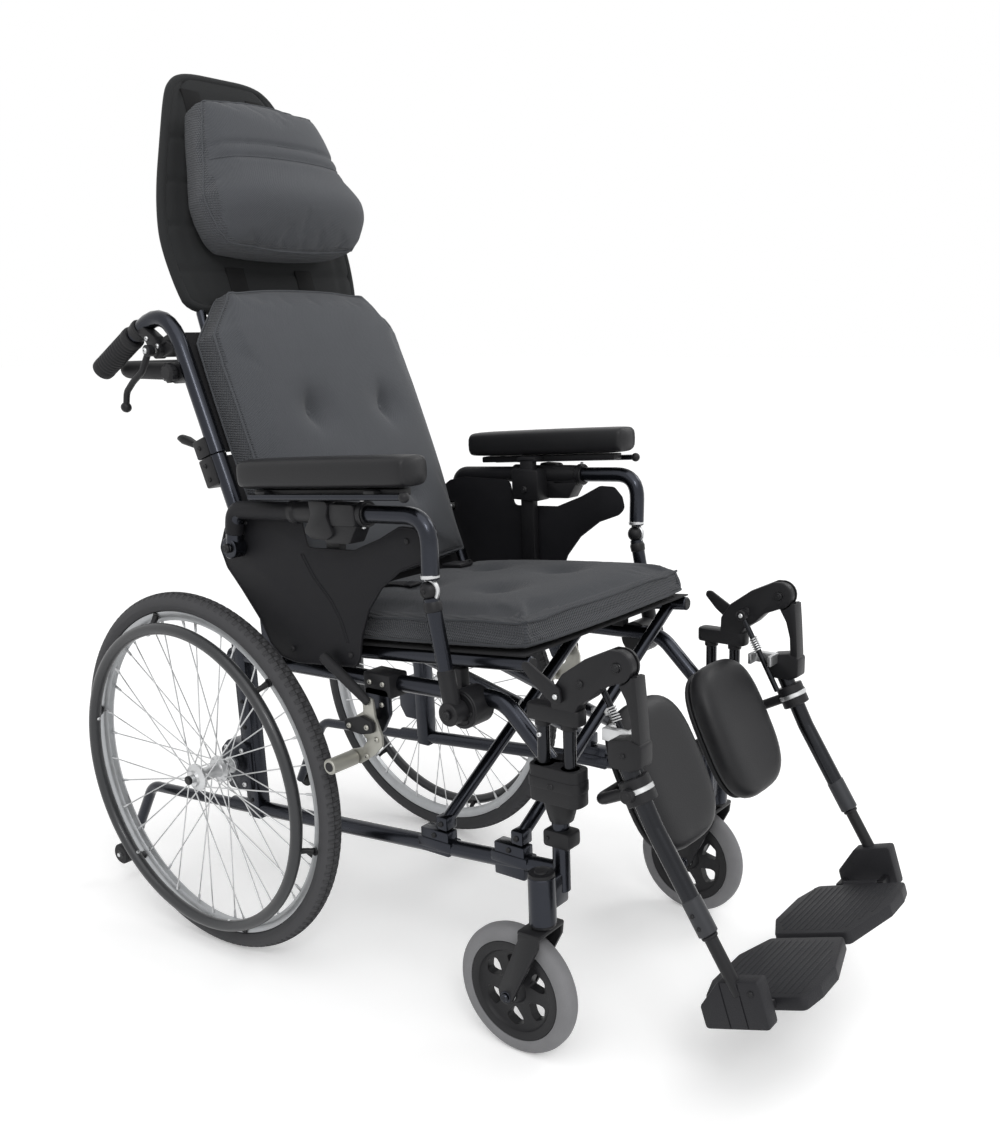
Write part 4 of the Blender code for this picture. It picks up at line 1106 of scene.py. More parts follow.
    def pivots(self, piece: Shape) -> None:
        """The recline pivot's plate, the arm socket and the lock's base."""
        lay, x = self.lay, self.lay.frame_x
        ry, rz = lay.recline
        ay, az = lay.arm_post
        ly, lz = lay.lock
        web = eased(mm((-180, 496), (-95, 496), (-105, 538), (-135, 546), (-165, 538)), 0.012)
        piece.add(slab(web, x - 0.01, x + 0.0055), STEEL, bevel=0.0015)
        piece.add(bar(x - 0.004, 0.2325, ry, rz, 0.006), BRIGHT)
        piece.screw((0.2325, ry, rz), 0.007)
        piece.add(bar(x - 0.004, 0.2438, ay, az, 0.028, 40))
        piece.add(tube([(0.2436, *p) for p in arc(ay, az, 0.0235, 0, 351, 40)], 0.0016, 8, loop=True))
        for a in (190, 237, 303, 350):
            p = arc(ay, az, 0.019, a, a, 1)[0]
            piece.screw((0.2438, *p), 0.003)
        piece.add(bar(0.24, 0.2725, ay, az, PIN), BRIGHT)
        piece.screw((0.2725, ay, az), 0.007)
        piece.add(box((x - 0.0138, -0.388, 0.486), (0.2335, -0.334, 0.5225)), bevel=0.004)
        plate = eased(mm((-384, 500), (-338, 500), (-330, 450), (-338, 431), (-366, 431), (-384, 462)),
                      0.008)
        piece.add(slab(plate, 0.2265, 0.2335), STEEL, bevel=0.001)
        piece.add(bar(0.23, 0.2538, ly, lz, 0.0048, 18), BRIGHT)
        piece.screw((0.2535, ly, lz), 0.0062, BRIGHT)
        for y, z in mm((-374, 508), (-348, 508), (-370, 476)):
            piece.screw((0.2335, y, z), 0.004, ZINC)


@dataclass
class RearWheel(Sided):
    """The laced rear wheel with its tyre and hand rim."""

    x: float = 0.2775
    tyre_r: float = 0.0165
    rim_r: float = 0.276
    spokes: int = 36
    cross: int = 5
    hand_r: float = 0.2525
    hand_tube: float = 0.0095
    hand_x: float = 0.3125
    blocks: int = 126
    tread: float = 0.0024

    def build(self) -> None:
        """Makes the wheel, the tyre and the hand rim."""
        wheel = self.start("spoked_wheel")
        self.hub(wheel)
        self.lace(wheel)
        self.end(wheel, "_wheel", "rear_wheel")
        self.end(self.tyre(), "_wheel", "rear_tyre", 16.0)
        self.end(self.push_ring(), "_wheel", "hand_rim")

    def around(self, x: float, radius: float, angle: float) -> np.ndarray:
        """A point at a radius from the axle."""
        return np.array((x, radius * cos(angle), self.lay.wheel_r + radius * sin(angle)))

    def hub(self, wheel: Shape) -> None:
        """The turned hub, and the rim with its hooked walls and valve."""
        x, z, r = self.x, self.lay.wheel_r, self.rim_r
        hub = mm((-35.5, 6.4), (29.5, 6.4), (29.5, 12.5), (25.5, 14), (21.5, 22.8), (17.2, 22.8), (15.5, 13),
                 (12, 11.2), (-18, 11.2), (-21.5, 13), (-23.2, 22.8), (-26.8, 22.8), (-31, 14),
                 (-35.5, 12.5))
        wheel.add(ringed([(x + a, b) for a, b in hub], 0, z, 48), BRIGHT)
        rim = mm((-11, 9), (-8.8, 12.5), (-4.2, 16.5), (4.2, 16.5), (8.8, 12.5), (11, 9), (11, 0.4),
                 (9.8, 0), (-9.8, 0), (-11, 0.4))
        wheel.add(ringed([(x + a, r - b) for a, b in rim], 0, z, 144), ALLOY)
        valve = [self.around(x, r - d, radians(200)) for d in (0.012, 0.03, 0.042)]
        wheel.add(tube(valve, [0.0028, 0.0028, 0.0022], 12))

    def lace(self, wheel: Shape) -> None:
        """The crossed spokes, with a nipple on each."""
        x = self.x
        for k in range(self.spokes):
            head = k % 4 < 2
            step = 0.0019 if head else -0.0019
            outer = 2 * pi * (k + 0.5) / self.spokes
            inner = outer + self.cross * 2 * pi / self.spokes * (1 if head else -1)
            flange, bed = (0.019, 0.0045) if k % 2 else (-0.025, -0.0045)
            p = self.around(x + flange + step, 0.019, inner)
            q = self.around(x + bed + step, self.rim_r - 0.012, outer)
            t = unit(q - p)
            wheel.add(tube([p, q], 0.0011, 8), BRIGHT)
            wheel.add(tube([q - t * 0.017, q - t * 0.013, q], [0.0016, 0.0022, 0.0024], 10), BRIGHT)
            wheel.add(ball(p, 0.0021, 5, 8), BRIGHT)

    def tyre(self) -> Shape:
        """The tyre: round in section, with a bead line and three rows of tread blocks."""
        x, z, r = self.x, self.lay.wheel_r, self.tyre_r
        mid = z - r
        rubber = Tread("rear_tyre_rubber", (70, 70, 72), "tyre_rubber", (self.lay.axle_y, z), 0.299,
                       self.blocks)
        walls = [-22, -6, 10, 24, 36]
        rows = [41, 45, 57, 69, 72, 75, 82, 90]
        half = [(a, a > 75) for a in walls + rows]
        turns = half + [(180 - a, m) for a, m in reversed(half[:-1])]
        verts = []
        steps = 4 * self.blocks
        beads = [(0.0105, 0.0006), (0.0128, 0.0012)]
        for k in range(steps):
            c, d = cos(2 * pi * k / steps), sin(2 * pi * k / steps)
            ring = [(x + a, self.rim_r + b) for a, b in beads]
            for a, middle in turns:
                open_row = abs(a - 90) < 50 and k % 4 == (2 if middle else 0)
                cut = self.tread if open_row or abs(abs(a - 90) - 18) < 1 else 0.0
                ring.append((x + (r - cut) * cos(radians(a)), mid + (r - cut) * sin(radians(a))))
            ring += [(x - a, self.rim_r + b) for a, b in reversed(beads)]
            verts += [(a, b * c, z + b * d) for a, b in ring]
        solid = verts, loft(steps, len(ring), True)
        return self.start("tyre").add(solid, rubber)

    def push_ring(self) -> Shape:
        """The hand rim on its six stand-offs, each with a screw."""
        x, z = self.hand_x, self.lay.wheel_r
        ring = [(x + self.hand_tube * cos(a), self.hand_r + self.hand_tube * sin(a))
                for a in np.linspace(0, 2 * pi, 18, endpoint=False)]
        piece = self.start("push_ring").add(ringed(ring, 0, z, 144), DARK_RIM)
        for k in range(6):
            a = 2 * pi * (k + 0.25) / 6
            p = self.around(x - 0.002, self.hand_r, a)
            m = self.around(x - 0.016, self.hand_r + 0.008, a)
            q = self.around(self.x + 0.0118, self.rim_r - 0.0065, a)
            piece.add(tube([p, m, q], [0.0048, 0.0044, 0.0052], 14))
            piece.add(tube([q + (0.001, 0, 0), q + (-0.0003, 0, 0)], 0.0068, 14))
            inner = self.around(x - 0.001, self.hand_r - 0.009, a)
            piece.screw(inner, 0.003, BRIGHT, axis=(0, -cos(a), -sin(a)))
        return piece


@dataclass
class Caster(Sided):
    """The front caster: fork, windowed hub and grey tyre."""

    y: float = -0.621
    r: float = 0.0995

    def build(self) -> None:
        """Makes the fork, the hub and the tyre."""
        self.end(self.fork(), "_caster", "caster_fork")
        self.end(self.hub(), "_caster_wheel", "caster_hub")
        self.end(self.tyre(), "_caster_wheel", "caster_tyre")

    def fork(self) -> Shape:
        """Two pressed legs under a crown, with the stem and the axle bolt."""
        x, y, r, sy = self.lay.caster_x, self.y, self.r, self.lay.stem_y
        piece = self.start("fork")
        piece.add(box((x - 0.0305, sy - 0.015, 0.2035), (x + 0.0305, sy + 0.023, 0.2112)), bevel=0.003)
        piece.add(tube([(x, sy, 0.209), (x, sy, 0.262)], 0.0058, 18), BRIGHT)
        piece.add(tube([(x, sy, 0.2105), (x, sy, 0.2122)], 0.014, 24), BRIGHT)
        leg = eased([(sy - 0.014, 0.208), (sy + 0.022, 0.208), (sy + 0.022, 0.196), (y + 0.013, r + 0.008),
                     (y + 0.01, r - 0.01), (y - 0.006, r - 0.013), (y - 0.013, r), (sy - 0.012, 0.19)],
                    0.008)
        for a, b, out in ((x + 0.0242, x + 0.0306, 1), (x - 0.0306, x - 0.0242, -1)):
            piece.add(slab(leg, a, b), bevel=0.0014)
            end = b if out > 0 else a
            piece.add(tube([(end - 0.001 * out, y, r), (end + 0.0008 * out, y, r)], 0.0095, 20), STEEL)
            piece.screw((end + 0.0006 * out, y, r), 0.0062, STEEL, axis=(out, 0, 0))
        return piece.add(bar(x - 0.027, x + 0.027, y, r, 0.0048, 18), BRIGHT)

    def hub(self) -> Shape:
        """The moulded hub with six teardrop windows."""
        x, y, r = self.lay.caster_x, self.y, self.r
        profile = mm((-20.8, 5.6), (20.8, 5.6), (20.8, 14), (19.5, 15.8), (8.5, 20), (7.2, 23), (7.2, 58),
                     (9, 61), (12.8, 63.2), (13.4, 64.5), (13.4, 75.8))
        profile += [(-a, b) for a, b in reversed(profile[2:])]
        drop = ((0.026, 0.0), (0.043, 0.3), (0.053, 0.31), (0.0585, 0.0), (0.053, -0.31), (0.043, -0.3))
        windows = []
        for k in range(6):
            a = 2 * pi * (k + 0.5) / 6 + 0.043
            pts = [(y + rad * cos(a + da), r + rad * sin(a + da)) for rad, da in drop]
            windows.append(slab(eased(pts, 0.006), x - 0.02, x + 0.02))
        hub = carved(ringed([(x + a, b) for a, b in profile], y, r, 72), windows)
        piece = self.start("caster_spider").add(hub)
        for out in (-1, 1):
            piece.add(tube([(x + 0.02 * out, y, r), (x + 0.0216 * out, y, r)], 0.011, 24), BRIGHT)
        return piece

    def tyre(self) -> Shape:
        """The solid tyre, round-shouldered."""
        x, r = self.lay.caster_x, self.r
        half = mm((13.4, 76.8), (14.6, 80), (15, 85), (14.2, 90), (12.2, 94.5), (9, 97.5), (4.5, 99.2))
        section = [(x + a, b) for a, b in half] + [(x - a, b) for a, b in reversed(half)]
        return self.start("caster_ring").add(ringed(section, self.y, r, 96), CASTER_RUBBER)


@dataclass
class CrossBrace:
    """One half of the double cross-brace, with its seat rail."""

    lay: Layout
    node: str
    hand: int
    shift: float

    def build(self) -> None:
        """Makes the rail, the struts and their feet."""
        lay, x = self.lay, self.lay.frame_x
        piece = Shape(self.node + "_tubes", lay, self.hand)
        rear = lay.seat_rear - 0.03
        rail = [(x, y, lay.seat(y)) for y in (rear, lay.seat_front)]
        piece.add(tube(rail, lay.seat_tube, 22), STEEL)
        for end, start in ((rear, -0.002), (lay.seat_front, 0.002)):
            piece.add(tube([(x, end + start, lay.seat(end)), (x, end - 0.001, lay.seat(end))], 0.0095, 18))
        for y in lay.brace_feet:
            low = lay.brace_foot(y) + 0.0298
            at = y + self.shift
            piece.add(tube([(-x + 0.003, at, low + 0.0118), (x, at, lay.seat(at))], 0.0098, 20), STEEL)
            piece.add(box((-x - 0.009, at - 0.0108, low), (-x + 0.015, at + 0.0108, low + 0.022)), STEEL,
                      bevel=0.003)
            piece.screw((-x - 0.009, at, low + 0.011), 0.0045, axis=(-1, 0, 0))
            mid = np.array((0.0, at, (low + 0.0118 + lay.seat(at)) / 2))
            piece.add(tube([mid + (0, -0.0098, 0), mid + (0, -0.0106, 0)], 0.006, 16), BRIGHT)
        for k in range(7):
            at = lay.seat_rear - 0.06 - 0.062 * k
            piece.screw((x, at, lay.seat(at) + 0.0108), 0.0032, BRIGHT, axis=(0, 0, 1))
        piece.done("frame", [self.node])


@dataclass
class Seat:
    """The seat: sling, stuffed cushion with spacer-mesh walls, and the lap belt's ends."""

    lay: Layout
    width: float = 0.443
    thick: float = 0.058
    rear: float = -0.172
    sling_rear: float = -0.2

    def shape(self, u: float, v: float) -> float:
        """A dip where the sitter rests, and four soft tufts."""
        dip = -0.004 * exp(-((u * 1.3) ** 2 + ((v + 0.1) * 1.3) ** 2))
        tufts = sum(-0.014 * exp(-(((u - a) / 0.15) ** 2 + ((v - b) / 0.15) ** 2)) for a in (-0.36, 0.36)
                    for b in (-0.3, 0.35))
        return dip + tufts

    def build(self) -> None:
        """Makes the sling, the cushion with its seams, and the belt."""
        lay = self.lay
        slant = sqrt(1 + lay.seat_slope ** 2)
        lift = lay.seat_tube * slant + 0.0004
        front = lay.seat_front - 0.004
        mid, half = (front + self.rear) / 2, (self.rear - front) / 2

        def place(x: float, y: float, w: float) -> Point:
            return x, mid + y, w + lay.seat(mid + y) + lift + 0.0034

        def on_rails(x: float, y: float, z: float) -> Point:
            return x, y, z + lay.seat(y) + lift

        sling = Shape("seat_sling_cloth", lay, frame=on_rails)
        edge, hem = self.width / 2 - 0.003, lay.seat_front + 0.004
        sling.add(box((-edge, hem, 0.0002), (edge, self.sling_rear, 0.0028)), VINYL, bevel=0.001)
        cloth = sling.done("frame", ["seat_sling"])
        2 * edge
        tilt = atan(lay.seat_slope)
        face = Woven("seat_cloth", (60, 62, 66), "seat_fabric", Weave.PLAIN, 0.003, tilt)
        wall = Woven("seat_spacer_mesh", (68, 70, 74), "seat_fabric", Weave.SPACER, 0.0075, 0.0, 0.9)
        pad = Cushion(self.width / 2, half, self.thick, 0.006, self.shape, 0.1, 0.8)
        tree = pad.sew("seat_pad", lay, "frame", "seat_cushion", place, (face, wall))
        welt = Shape("seat_welts", lay)
        for height in (self.thick * 0.82, self.thick * 0.14):
            welt.add(pad.seam(tree, pad.border(height, 170, 0.001), 0.002), face, place)
        welt.done("frame")
        self.belt(tree, place)

    def belt(self, tree: BVHTree, place: Frame) -> None:
        """The two short ends of a lap belt, lying on the seat's rear corners."""
        for side, reach, buckle in ((-1, 0.105, False), (1, 0.07, True)):
            strip = Shape(("left" if side > 0 else "right") + "_belt_end", self.lay)
            rows = []
            for k in range(15):
                t = k / 14
                v = 0.22 - t * reach
                u = side * (0.192 - 0.115 * t)
                across = np.array((0.55, 0.84)) if side < 0 else np.array((0.55, -0.84))
                row = []
                for e in (-0.0125, 0.0125):
                    p, q = u + across[0] * e, min(0.231, v + across[1] * e)
                    row.append((p, q, top_of(tree, p, q, 0.04) + 0.0015 + 0.004 * sin(t * pi)))
                rows.append(row)
            verts = [p for row in rows for p in row]
            verts += [(p[0], p[1], p[2] + 0.0017) for p in verts]
            n = len(verts) // 2
            faces = [(0, 1, n + 1, n), (n - 2, 2 * n - 2, 2 * n - 1, n - 1)]
            for k in range(len(rows) - 1):
                a, b, c, d = 2 * k, 2 * k + 1, 2 * k + 3, 2 * k + 2
                faces += [(d, c, b, a), (n + a, n + b, n + c, n + d), (a, n + a, n + d, d),
                          (b, c, n + c, n + b)]
            strip.add((verts, faces), WEBBING, place)
            tip = np.mean(np.array(rows[-1]), axis=0)
            size = (0.017, 0.022, 0.006) if buckle else (0.015, 0.014, 0.004)
            strip.add(box(tip - np.array((size[0], size[1], 0.001)),
                          tip + np.array((size[0], size[1], size[2]))), PLASTIC, place, 0.003)
            strip.done("frame")


@dataclass
class Backrest:
    """The stuffed back cushion with spacer-mesh walls, and the slings behind it."""

    lay: Layout
    width: float = 0.422
    bottom: float = -0.176
    top: float = 0.335
    thick: float = 0.08
    tufts: Sequence[Point] = ((-0.38, 0.12), (0.38, 0.12), (-0.38, -0.46), (0.38, -0.46))

    def shape(self, u: float, v: float) -> float:
        """A lumbar swell and four deep tufts."""
        swell = 0.01 * exp(-((v + 0.45) / 0.35) ** 2) * (1 - u * u)
        tufts = 0.0
        for a, b in self.tufts:
            d = ((u - a) / 0.15) ** 2 + ((v - b) / 0.13) ** 2
            fold = ((u - a) / 0.045) ** 2 + ((v - b) / 0.1) ** 2
            tufts -= 0.015 * exp(-d) + 0.011 * exp(-fold)
        return swell + tufts

    def place(self, x: float, s: float, w: float) -> Point:
        """A point of the cushion, with the top corners cut off slantwise."""
        up = (self.top + self.bottom) / 2 + s
        limit = self.width / 2
        if up > self.top - 0.085:
            limit -= 0.072 * (up - (self.top - 0.085)) / 0.085
        x = max(-1.0, min(1.0, x / (self.width / 2))) * limit
        return self.lay.back(x, up, w - 0.01)

    def build(self) -> None:
        """Makes the cushion with its seams, and the slings of the lower and the upper canes."""
        lay = self.lay
        tilt = radians(90 - lay.back_angle)
        face = Woven("back_cloth", (80, 82, 86), "seat_fabric", Weave.PLAIN, 0.003, tilt)
        wall = Woven("back_spacer_mesh", (75, 77, 81), "seat_fabric", Weave.SPACER, 0.0075, 0.0, 0.9)
        pad = Cushion(self.width / 2, (self.top - self.bottom) / 2, self.thick, 0.012, self.shape, 0.2, 0.7,
                      cap=0.007)
        tree = pad.sew("back_pad", lay, "backrest", "back_cushion", self.place, (face, wall))
        welt = Shape("back_welts", lay)
        for height in (self.thick * 0.72, self.thick * 0.16):
            welt.add(pad.seam(tree, pad.border(height, 180, 0.001), 0.002), face, self.place)
        for a, b in self.tufts:
            at = (a * self.width / 2, b * (self.top - self.bottom) / 2)
            low = top_of(tree, *at, self.thick)
            bead = ball((*at, 0.001), 0.006, 8, 14)
            welt.add(([(q[0], q[1], low + q[2] * 0.45) for q in bead[0]], bead[1]), face, self.place)
        welt.done("backrest")
        sling = Shape("back_sling", lay)
        reach = lay.cane_x - lay.tube - 0.0005
        sling.add(box((-reach, self.bottom - 0.03, -0.0122), (reach, lay.fold - 0.004, 0.0042)), VINYL,
                  lay.back, 0.001)
        upper = Shape("upper_back_sling", lay)
        upper.add(box((-reach, lay.fold + 0.004, -0.0122), (reach, 0.27, -0.003)), VINYL, lay.back, 0.001)
        upper.done("upper_back")
        sling.done("backrest")


@dataclass
class HeadSupport:
    """The quilted head panel on its two tubes, with the pillow on hook tape."""

    lay: Layout
    panel: float = 0.009
    pillow_w: float = 0.16
    pillow_l: float = 0.123
    pillow_t: float = 0.108
    pillow_s: float = 0.203
    outline: Sequence[Point] = ((0.008, 0.176), (0.05, 0.187), (0.11, 0.192), (0.15, 0.186), (0.205, 0.17),
                                (0.275, 0.142), (0.34, 0.116), (0.37, 0.1), (0.386, 0.072))

    def rim(self) -> list[Point]:
        """The panel's right edge as (s, half-width) points, its corners worn round by cutting them off."""
        points = [(self.outline[0][0], 0.0), *self.outline, (self.outline[-1][0], 0.0)]
        for _ in range(3):
            worn = [points[0]]
            for (a, b), (c, d) in zip(points, points[1:]):
                worn += [(0.75 * a + 0.25 * c, 0.75 * b + 0.25 * d),
                         (0.25 * a + 0.75 * c, 0.25 * b + 0.75 * d)]
            points = worn + [points[-1]]
        return points

    def build(self) -> None:
        """Makes the panel, its binding and tapes, the tubes and the pillow."""
        lay = self.lay
        cloth = Woven("head_panel_cloth", (42, 43, 44), "black_fabric", Weave.PLAIN, 0.0022,
                      radians(90 - lay.head_angle), 0.5, 0.06)
        piece = Shape("head_board", lay)
        piece.add(self.quilt(), cloth, lay.head)
        made = piece.done("head_support", ["head_panel"], 60)
        trim = Shape("head_board_trim", lay, frame=lay.head)
        right = [(w - 0.005, s, 0.0) for s, w in self.rim() if w > 0.01]
        loop = right + [(-w, s, 0.0) for w, s, _ in reversed(right)]
        trim.add(tube(loop, 0.0078, 14, loop=True), cloth)
        for x0, x1, s0, s1 in ((-0.092, -0.056, 0.004, 0.078), (0.052, 0.088, 0.004, 0.078),
                               (-0.086, -0.052, 0.31, 0.362), (0.04, 0.074, 0.31, 0.362)):
            trim.add(box((x0, s0, 0.004), (x1, s1, self.panel + 0.0012)), HOOK, bevel=0.0006)
        for x in (-lay.head_tube, lay.head_tube):
            trim.add(tube([(x, -0.175, 0), (x, 0.006, 0), (x, 0.014, 0), (x, 0.12, 0)],
                          [0.0074, 0.0074, 0.005, 0.005], 18), STEEL)
            trim.add(tube([(x, -0.176, 0), (x, -0.172, 0)], 0.0071, 18))
        trim.done("head_support")
        self.pillow()

    def quilt(self) -> Solid:
        """The padded board: thin at its edge, with stitched lines that pinch it."""
        rows, cols = 70, 36
        low, high = self.outline[0][0], self.outline[-1][0]
        heights, halves = zip(*(q for q in self.rim() if q[1] > 0.03))
        verts, faces = [], []
        for level in (1, -1):
            for j in range(rows + 1):
                s = low + (high - low) * j / rows
                half = float(np.interp(s, heights, halves))
                for i in range(cols + 1):
                    u = signed(-1 + 2 * i / cols, 0.8)
                    end = min(s - low, high - s) / 0.03
                    puff = (1 - abs(u) ** 8) ** 0.4 * min(1.0, 0.25 + end) ** 0.5
                    seam = sum(exp(-((s - k) / 0.0045) ** 2) for k in (0.072, 0.142, 0.212, 0.282))
                    seam += exp(-((abs(u) - 0.82) / 0.02) ** 2)
                    w = self.panel * (0.28 + 0.72 * puff) - 0.0028 * min(1.0, seam)
                    verts.append((u * half, s, level * w))
        n = (rows + 1) * (cols + 1)
        wide = cols + 1
        for j in range(rows):
            for i in range(cols):
                a = j * wide + i
                faces.append((a, a + 1, a + wide + 1, a + wide))
                faces.append((n + a + wide, n + a + wide + 1, n + a + 1, n + a))
        ring = list(range(wide)) + [j * wide + cols for j in range(1, rows + 1)]
        ring += [rows * wide + i for i in range(cols - 1, -1, -1)]
        ring += [j * wide for j in range(rows - 1, 0, -1)]
        faces += [(q, p, n + p, n + q) for p, q in zip(ring, ring[1:] + ring[:1])]
        return verts, faces

    def groove(self, u: float, v: float) -> float:
        """The neck roll stands out low down; two stitched grooves run across above it."""
        roll = 0.024 * exp(-((v + 0.42) / 0.36) ** 2)
        lines = exp(-((v - 0.3) / 0.03) ** 2) + exp(-((v - 0.12) / 0.03) ** 2)
        return roll - 0.005 * lines

    def place(self, x: float, s: float, w: float) -> Point:
        """A point of the pillow, narrower towards its top."""
        taper = float(np.interp(s, (-0.117, -0.095, -0.065, -0.04, 0.01, 0.056, 0.117),
                                (0.86, 0.97, 1.0, 1.0, 0.9, 0.84, 0.76)))
        taper *= 0.92 + 0.08 * max(0.0, min(1.0, 2 * w / self.pillow_t))
        return self.lay.head(x * taper, self.pillow_s + s, w + self.panel + 0.0004)

    def pillow(self) -> None:
        """The pillow with its stitched lines and mesh cheeks."""
        lay = self.lay
        face = Woven("pillow_cloth", (80, 82, 86), "seat_fabric", Weave.PLAIN, 0.003,
                     radians(90 - lay.head_angle))
        wall = Woven("pillow_spacer_mesh", (78, 80, 84), "seat_fabric", Weave.SPACER, 0.007, 0.0, 0.8)
        pad = Cushion(self.pillow_w, self.pillow_l, self.pillow_t, 0.006, self.groove, 0.12, 0.66, 0.07,
                      0.005, 4.0, 0.007)
        tree = pad.sew("pillow", lay, "head_support", "head_pillow", self.place, (face, wall))
        welt = Shape("pillow_seams", lay)
        for v in (0.3, 0.12):
            line = [(u * self.pillow_w, v * self.pillow_l) for u in np.linspace(-0.93, 0.93, 60)]
            line = [(*p, top_of(tree, *p, 0.06)) for p in line]
            welt.add(pad.seam(tree, line, 0.0012), face, self.place)
        welt.add(pad.seam(tree, pad.border(self.pillow_t * 0.66, 130, 0.001), 0.0015), face, self.place)
        welt.done("head_support")


@dataclass
class BackCanes(Sided):
    """One side's back canes: lower cane, fold-down upper cane, push grip and recline lever."""

    bottom: float = -0.212
    top: float = 0.317
    drop: float = 8.6
    lug: float = 0.0145
    lug_w: float = -0.034
    lever_s: float = 0.258
    lever_w: float = -0.048

    def handle(self, along: float) -> Point:
        """A point of the push handle in (x, s, w), counted from its corner with the cane."""
        a = radians(self.drop)
        return self.lay.cane_x, self.top - along * sin(a), -along * cos(a)

    def build(self) -> None:
        """Makes the four pieces."""
        self.lower()
        self.upper()
        self.grip()
        self.lever()

    def lower(self) -> None:
        """The lower cane with its pivot plate, arm pin and fold lug."""
        lay, x = self.lay, self.lay.cane_x
        qy, qz = lay.arm_pin
        piece = self.start("cane")
        piece.add(tube([(x, self.bottom, 0), (x, lay.fold - 0.0002, 0)], lay.tube, 22), STEEL, lay.back)
        base = eased(mm((-158, 522), (-150, 505), (-135, 499.5), (-120, 505), (-112, 522), (-110, 590),
                        (-130, 605), (-155, 590)), 0.01)
        hole = bar(0.21, 0.24, *lay.recline, BORE)
        piece.add(carved(slab(base, 0.2227, 0.2298), [hole]), STEEL)
        piece.add(bar(0.232, 0.2715, qy, qz, PIN), BRIGHT)
        piece.screw((0.2715, qy, qz), 0.0072)
        lug = box((x - self.lug, lay.fold - 0.045, self.lug_w), (x + self.lug, lay.fold - 0.0005, -0.002))
        piece.add(lug, PLASTIC, lay.back, 0.003)
        for s in (lay.fold - 0.034, lay.fold - 0.012):
            piece.screw((x + self.lug, s, -0.02), 0.0035, frame=lay.back)
        for s in (-0.15, -0.08, -0.01):
            piece.screw((x, s, 0.0122), 0.003, axis=(0, 0, 1), frame=lay.back)
        self.end(piece, "backrest", "back_cane")

    def upper(self) -> None:
        """The upper cane with its bend, latch paddle, head-tube collar, bar ear and lever bracket."""
        lay, x = self.lay, self.lay.cane_x
        bs, bw = lay.bar
        piece = self.start("handle_cane", lay.back)
        path = [(x, lay.fold + 0.0002, 0), (x, self.top, 0), self.handle(0.203)]
        piece.add(tube(path, lay.tube, 22, bend=0.065), STEEL)
        lug = box((x - self.lug, lay.fold + 0.0005, self.lug_w), (x + self.lug, lay.fold + 0.03, -0.002))
        piece.add(lug, bevel=0.003)
        piece.screw((x + self.lug, lay.fold + 0.016, -0.02), 0.0035)
        paddle = [(x, lay.fold + 0.018, -0.028), (x, lay.fold + 0.03, -0.046), (x, lay.fold + 0.042, -0.062),
                  (x, lay.fold + 0.05, -0.072)]
        piece.add(tube(paddle, [0.0065, 0.0085, 0.0115, 0.009], 18, flat=0.6))
        piece.add(self.collar(), PLASTIC, as_is)
        piece.add(box((x - 0.018, bs - 0.014, bw - 0.014), (x + 0.0088, bs + 0.014, -0.0043)), bevel=0.004)
        piece.add(tube([(x, bs, bw), (0.179, bs, bw)], 0.0048, 16), BRIGHT)
        knob = [(x + d, bs, bw) for d in (0.006, 0.01, 0.014, 0.022, 0.0255)]
        piece.add(tube(knob, [0.008, 0.01, 0.0145, 0.014, 0.011], 24))
        for k in range(12):
            a = 2 * pi * k / 12
            c, d = 0.0138 * cos(a), 0.0138 * sin(a)
            piece.add(tube([(x + 0.0142, bs + c, bw + d), (x + 0.0225, bs + c, bw + d)], 0.0016, 8))
        self.bracket(piece)
        self.end(piece, "upper_back", "upper_cane")

    def bracket(self, piece: Shape) -> None:
        """The lever's clamp on the handle, its arm with the two pivots, and the cable."""
        x, s, w = self.lay.cane_x, self.lever_s, self.lever_w
        piece.add(tube([self.handle(0.078), self.handle(0.096)], 0.0152, 26))
        arm = eased([(s - 0.012, w - 0.01), (s - 0.006, w + 0.012), (s + 0.02, w + 0.006),
                     (s + 0.043, w - 0.012), (s + 0.045, w - 0.036), (s + 0.026, w - 0.02)], 0.006)
        piece.add(slab(arm, x - 0.007, x + 0.0115), bevel=0.002)
        piece.add(bar(x, x + 0.0295, s, w, THIN_PIN, 14), BRIGHT)
        for ds, dw in ((0.0234, -0.0112), (0.004, 0.008)):
            piece.screw((x + 0.0115, s + ds, w + dw), 0.0036, BRIGHT)
        piece.add(tube([self.handle(0.08 + 0.008 * k) for k in range(2)], 0.016, 26))
        cable = [(x + 0.004, s + 0.006, w + 0.008), (x + 0.006, s + 0.007, w + 0.024),
                 (x + 0.006, s - 0.004, w + 0.036), (x + 0.002, s - 0.022, w + 0.04),
                 (x + 0.002, s - 0.06, w + 0.0365)]
        piece.add(tube(cable, 0.002, 10, bend=0.014), GRIP)

    def collar(self) -> Solid:
        """The block that the head tube slides in, bored for it."""
        lay = self.lay
        block = bevelled(box((lay.head_tube - 0.014, 0.247, -0.052), (lay.cane_x + 0.004, 0.274, -0.0125)),
                         0.004)
        placed = [lay.back(*v) for v in block[0]], block[1]
        run = tube([(lay.head_tube, -0.15, 0), (lay.head_tube, 0.05, 0)], 0.0079, 24)
        hole = [lay.head(*v) for v in run[0]], run[1]
        return carved(placed, [hole])

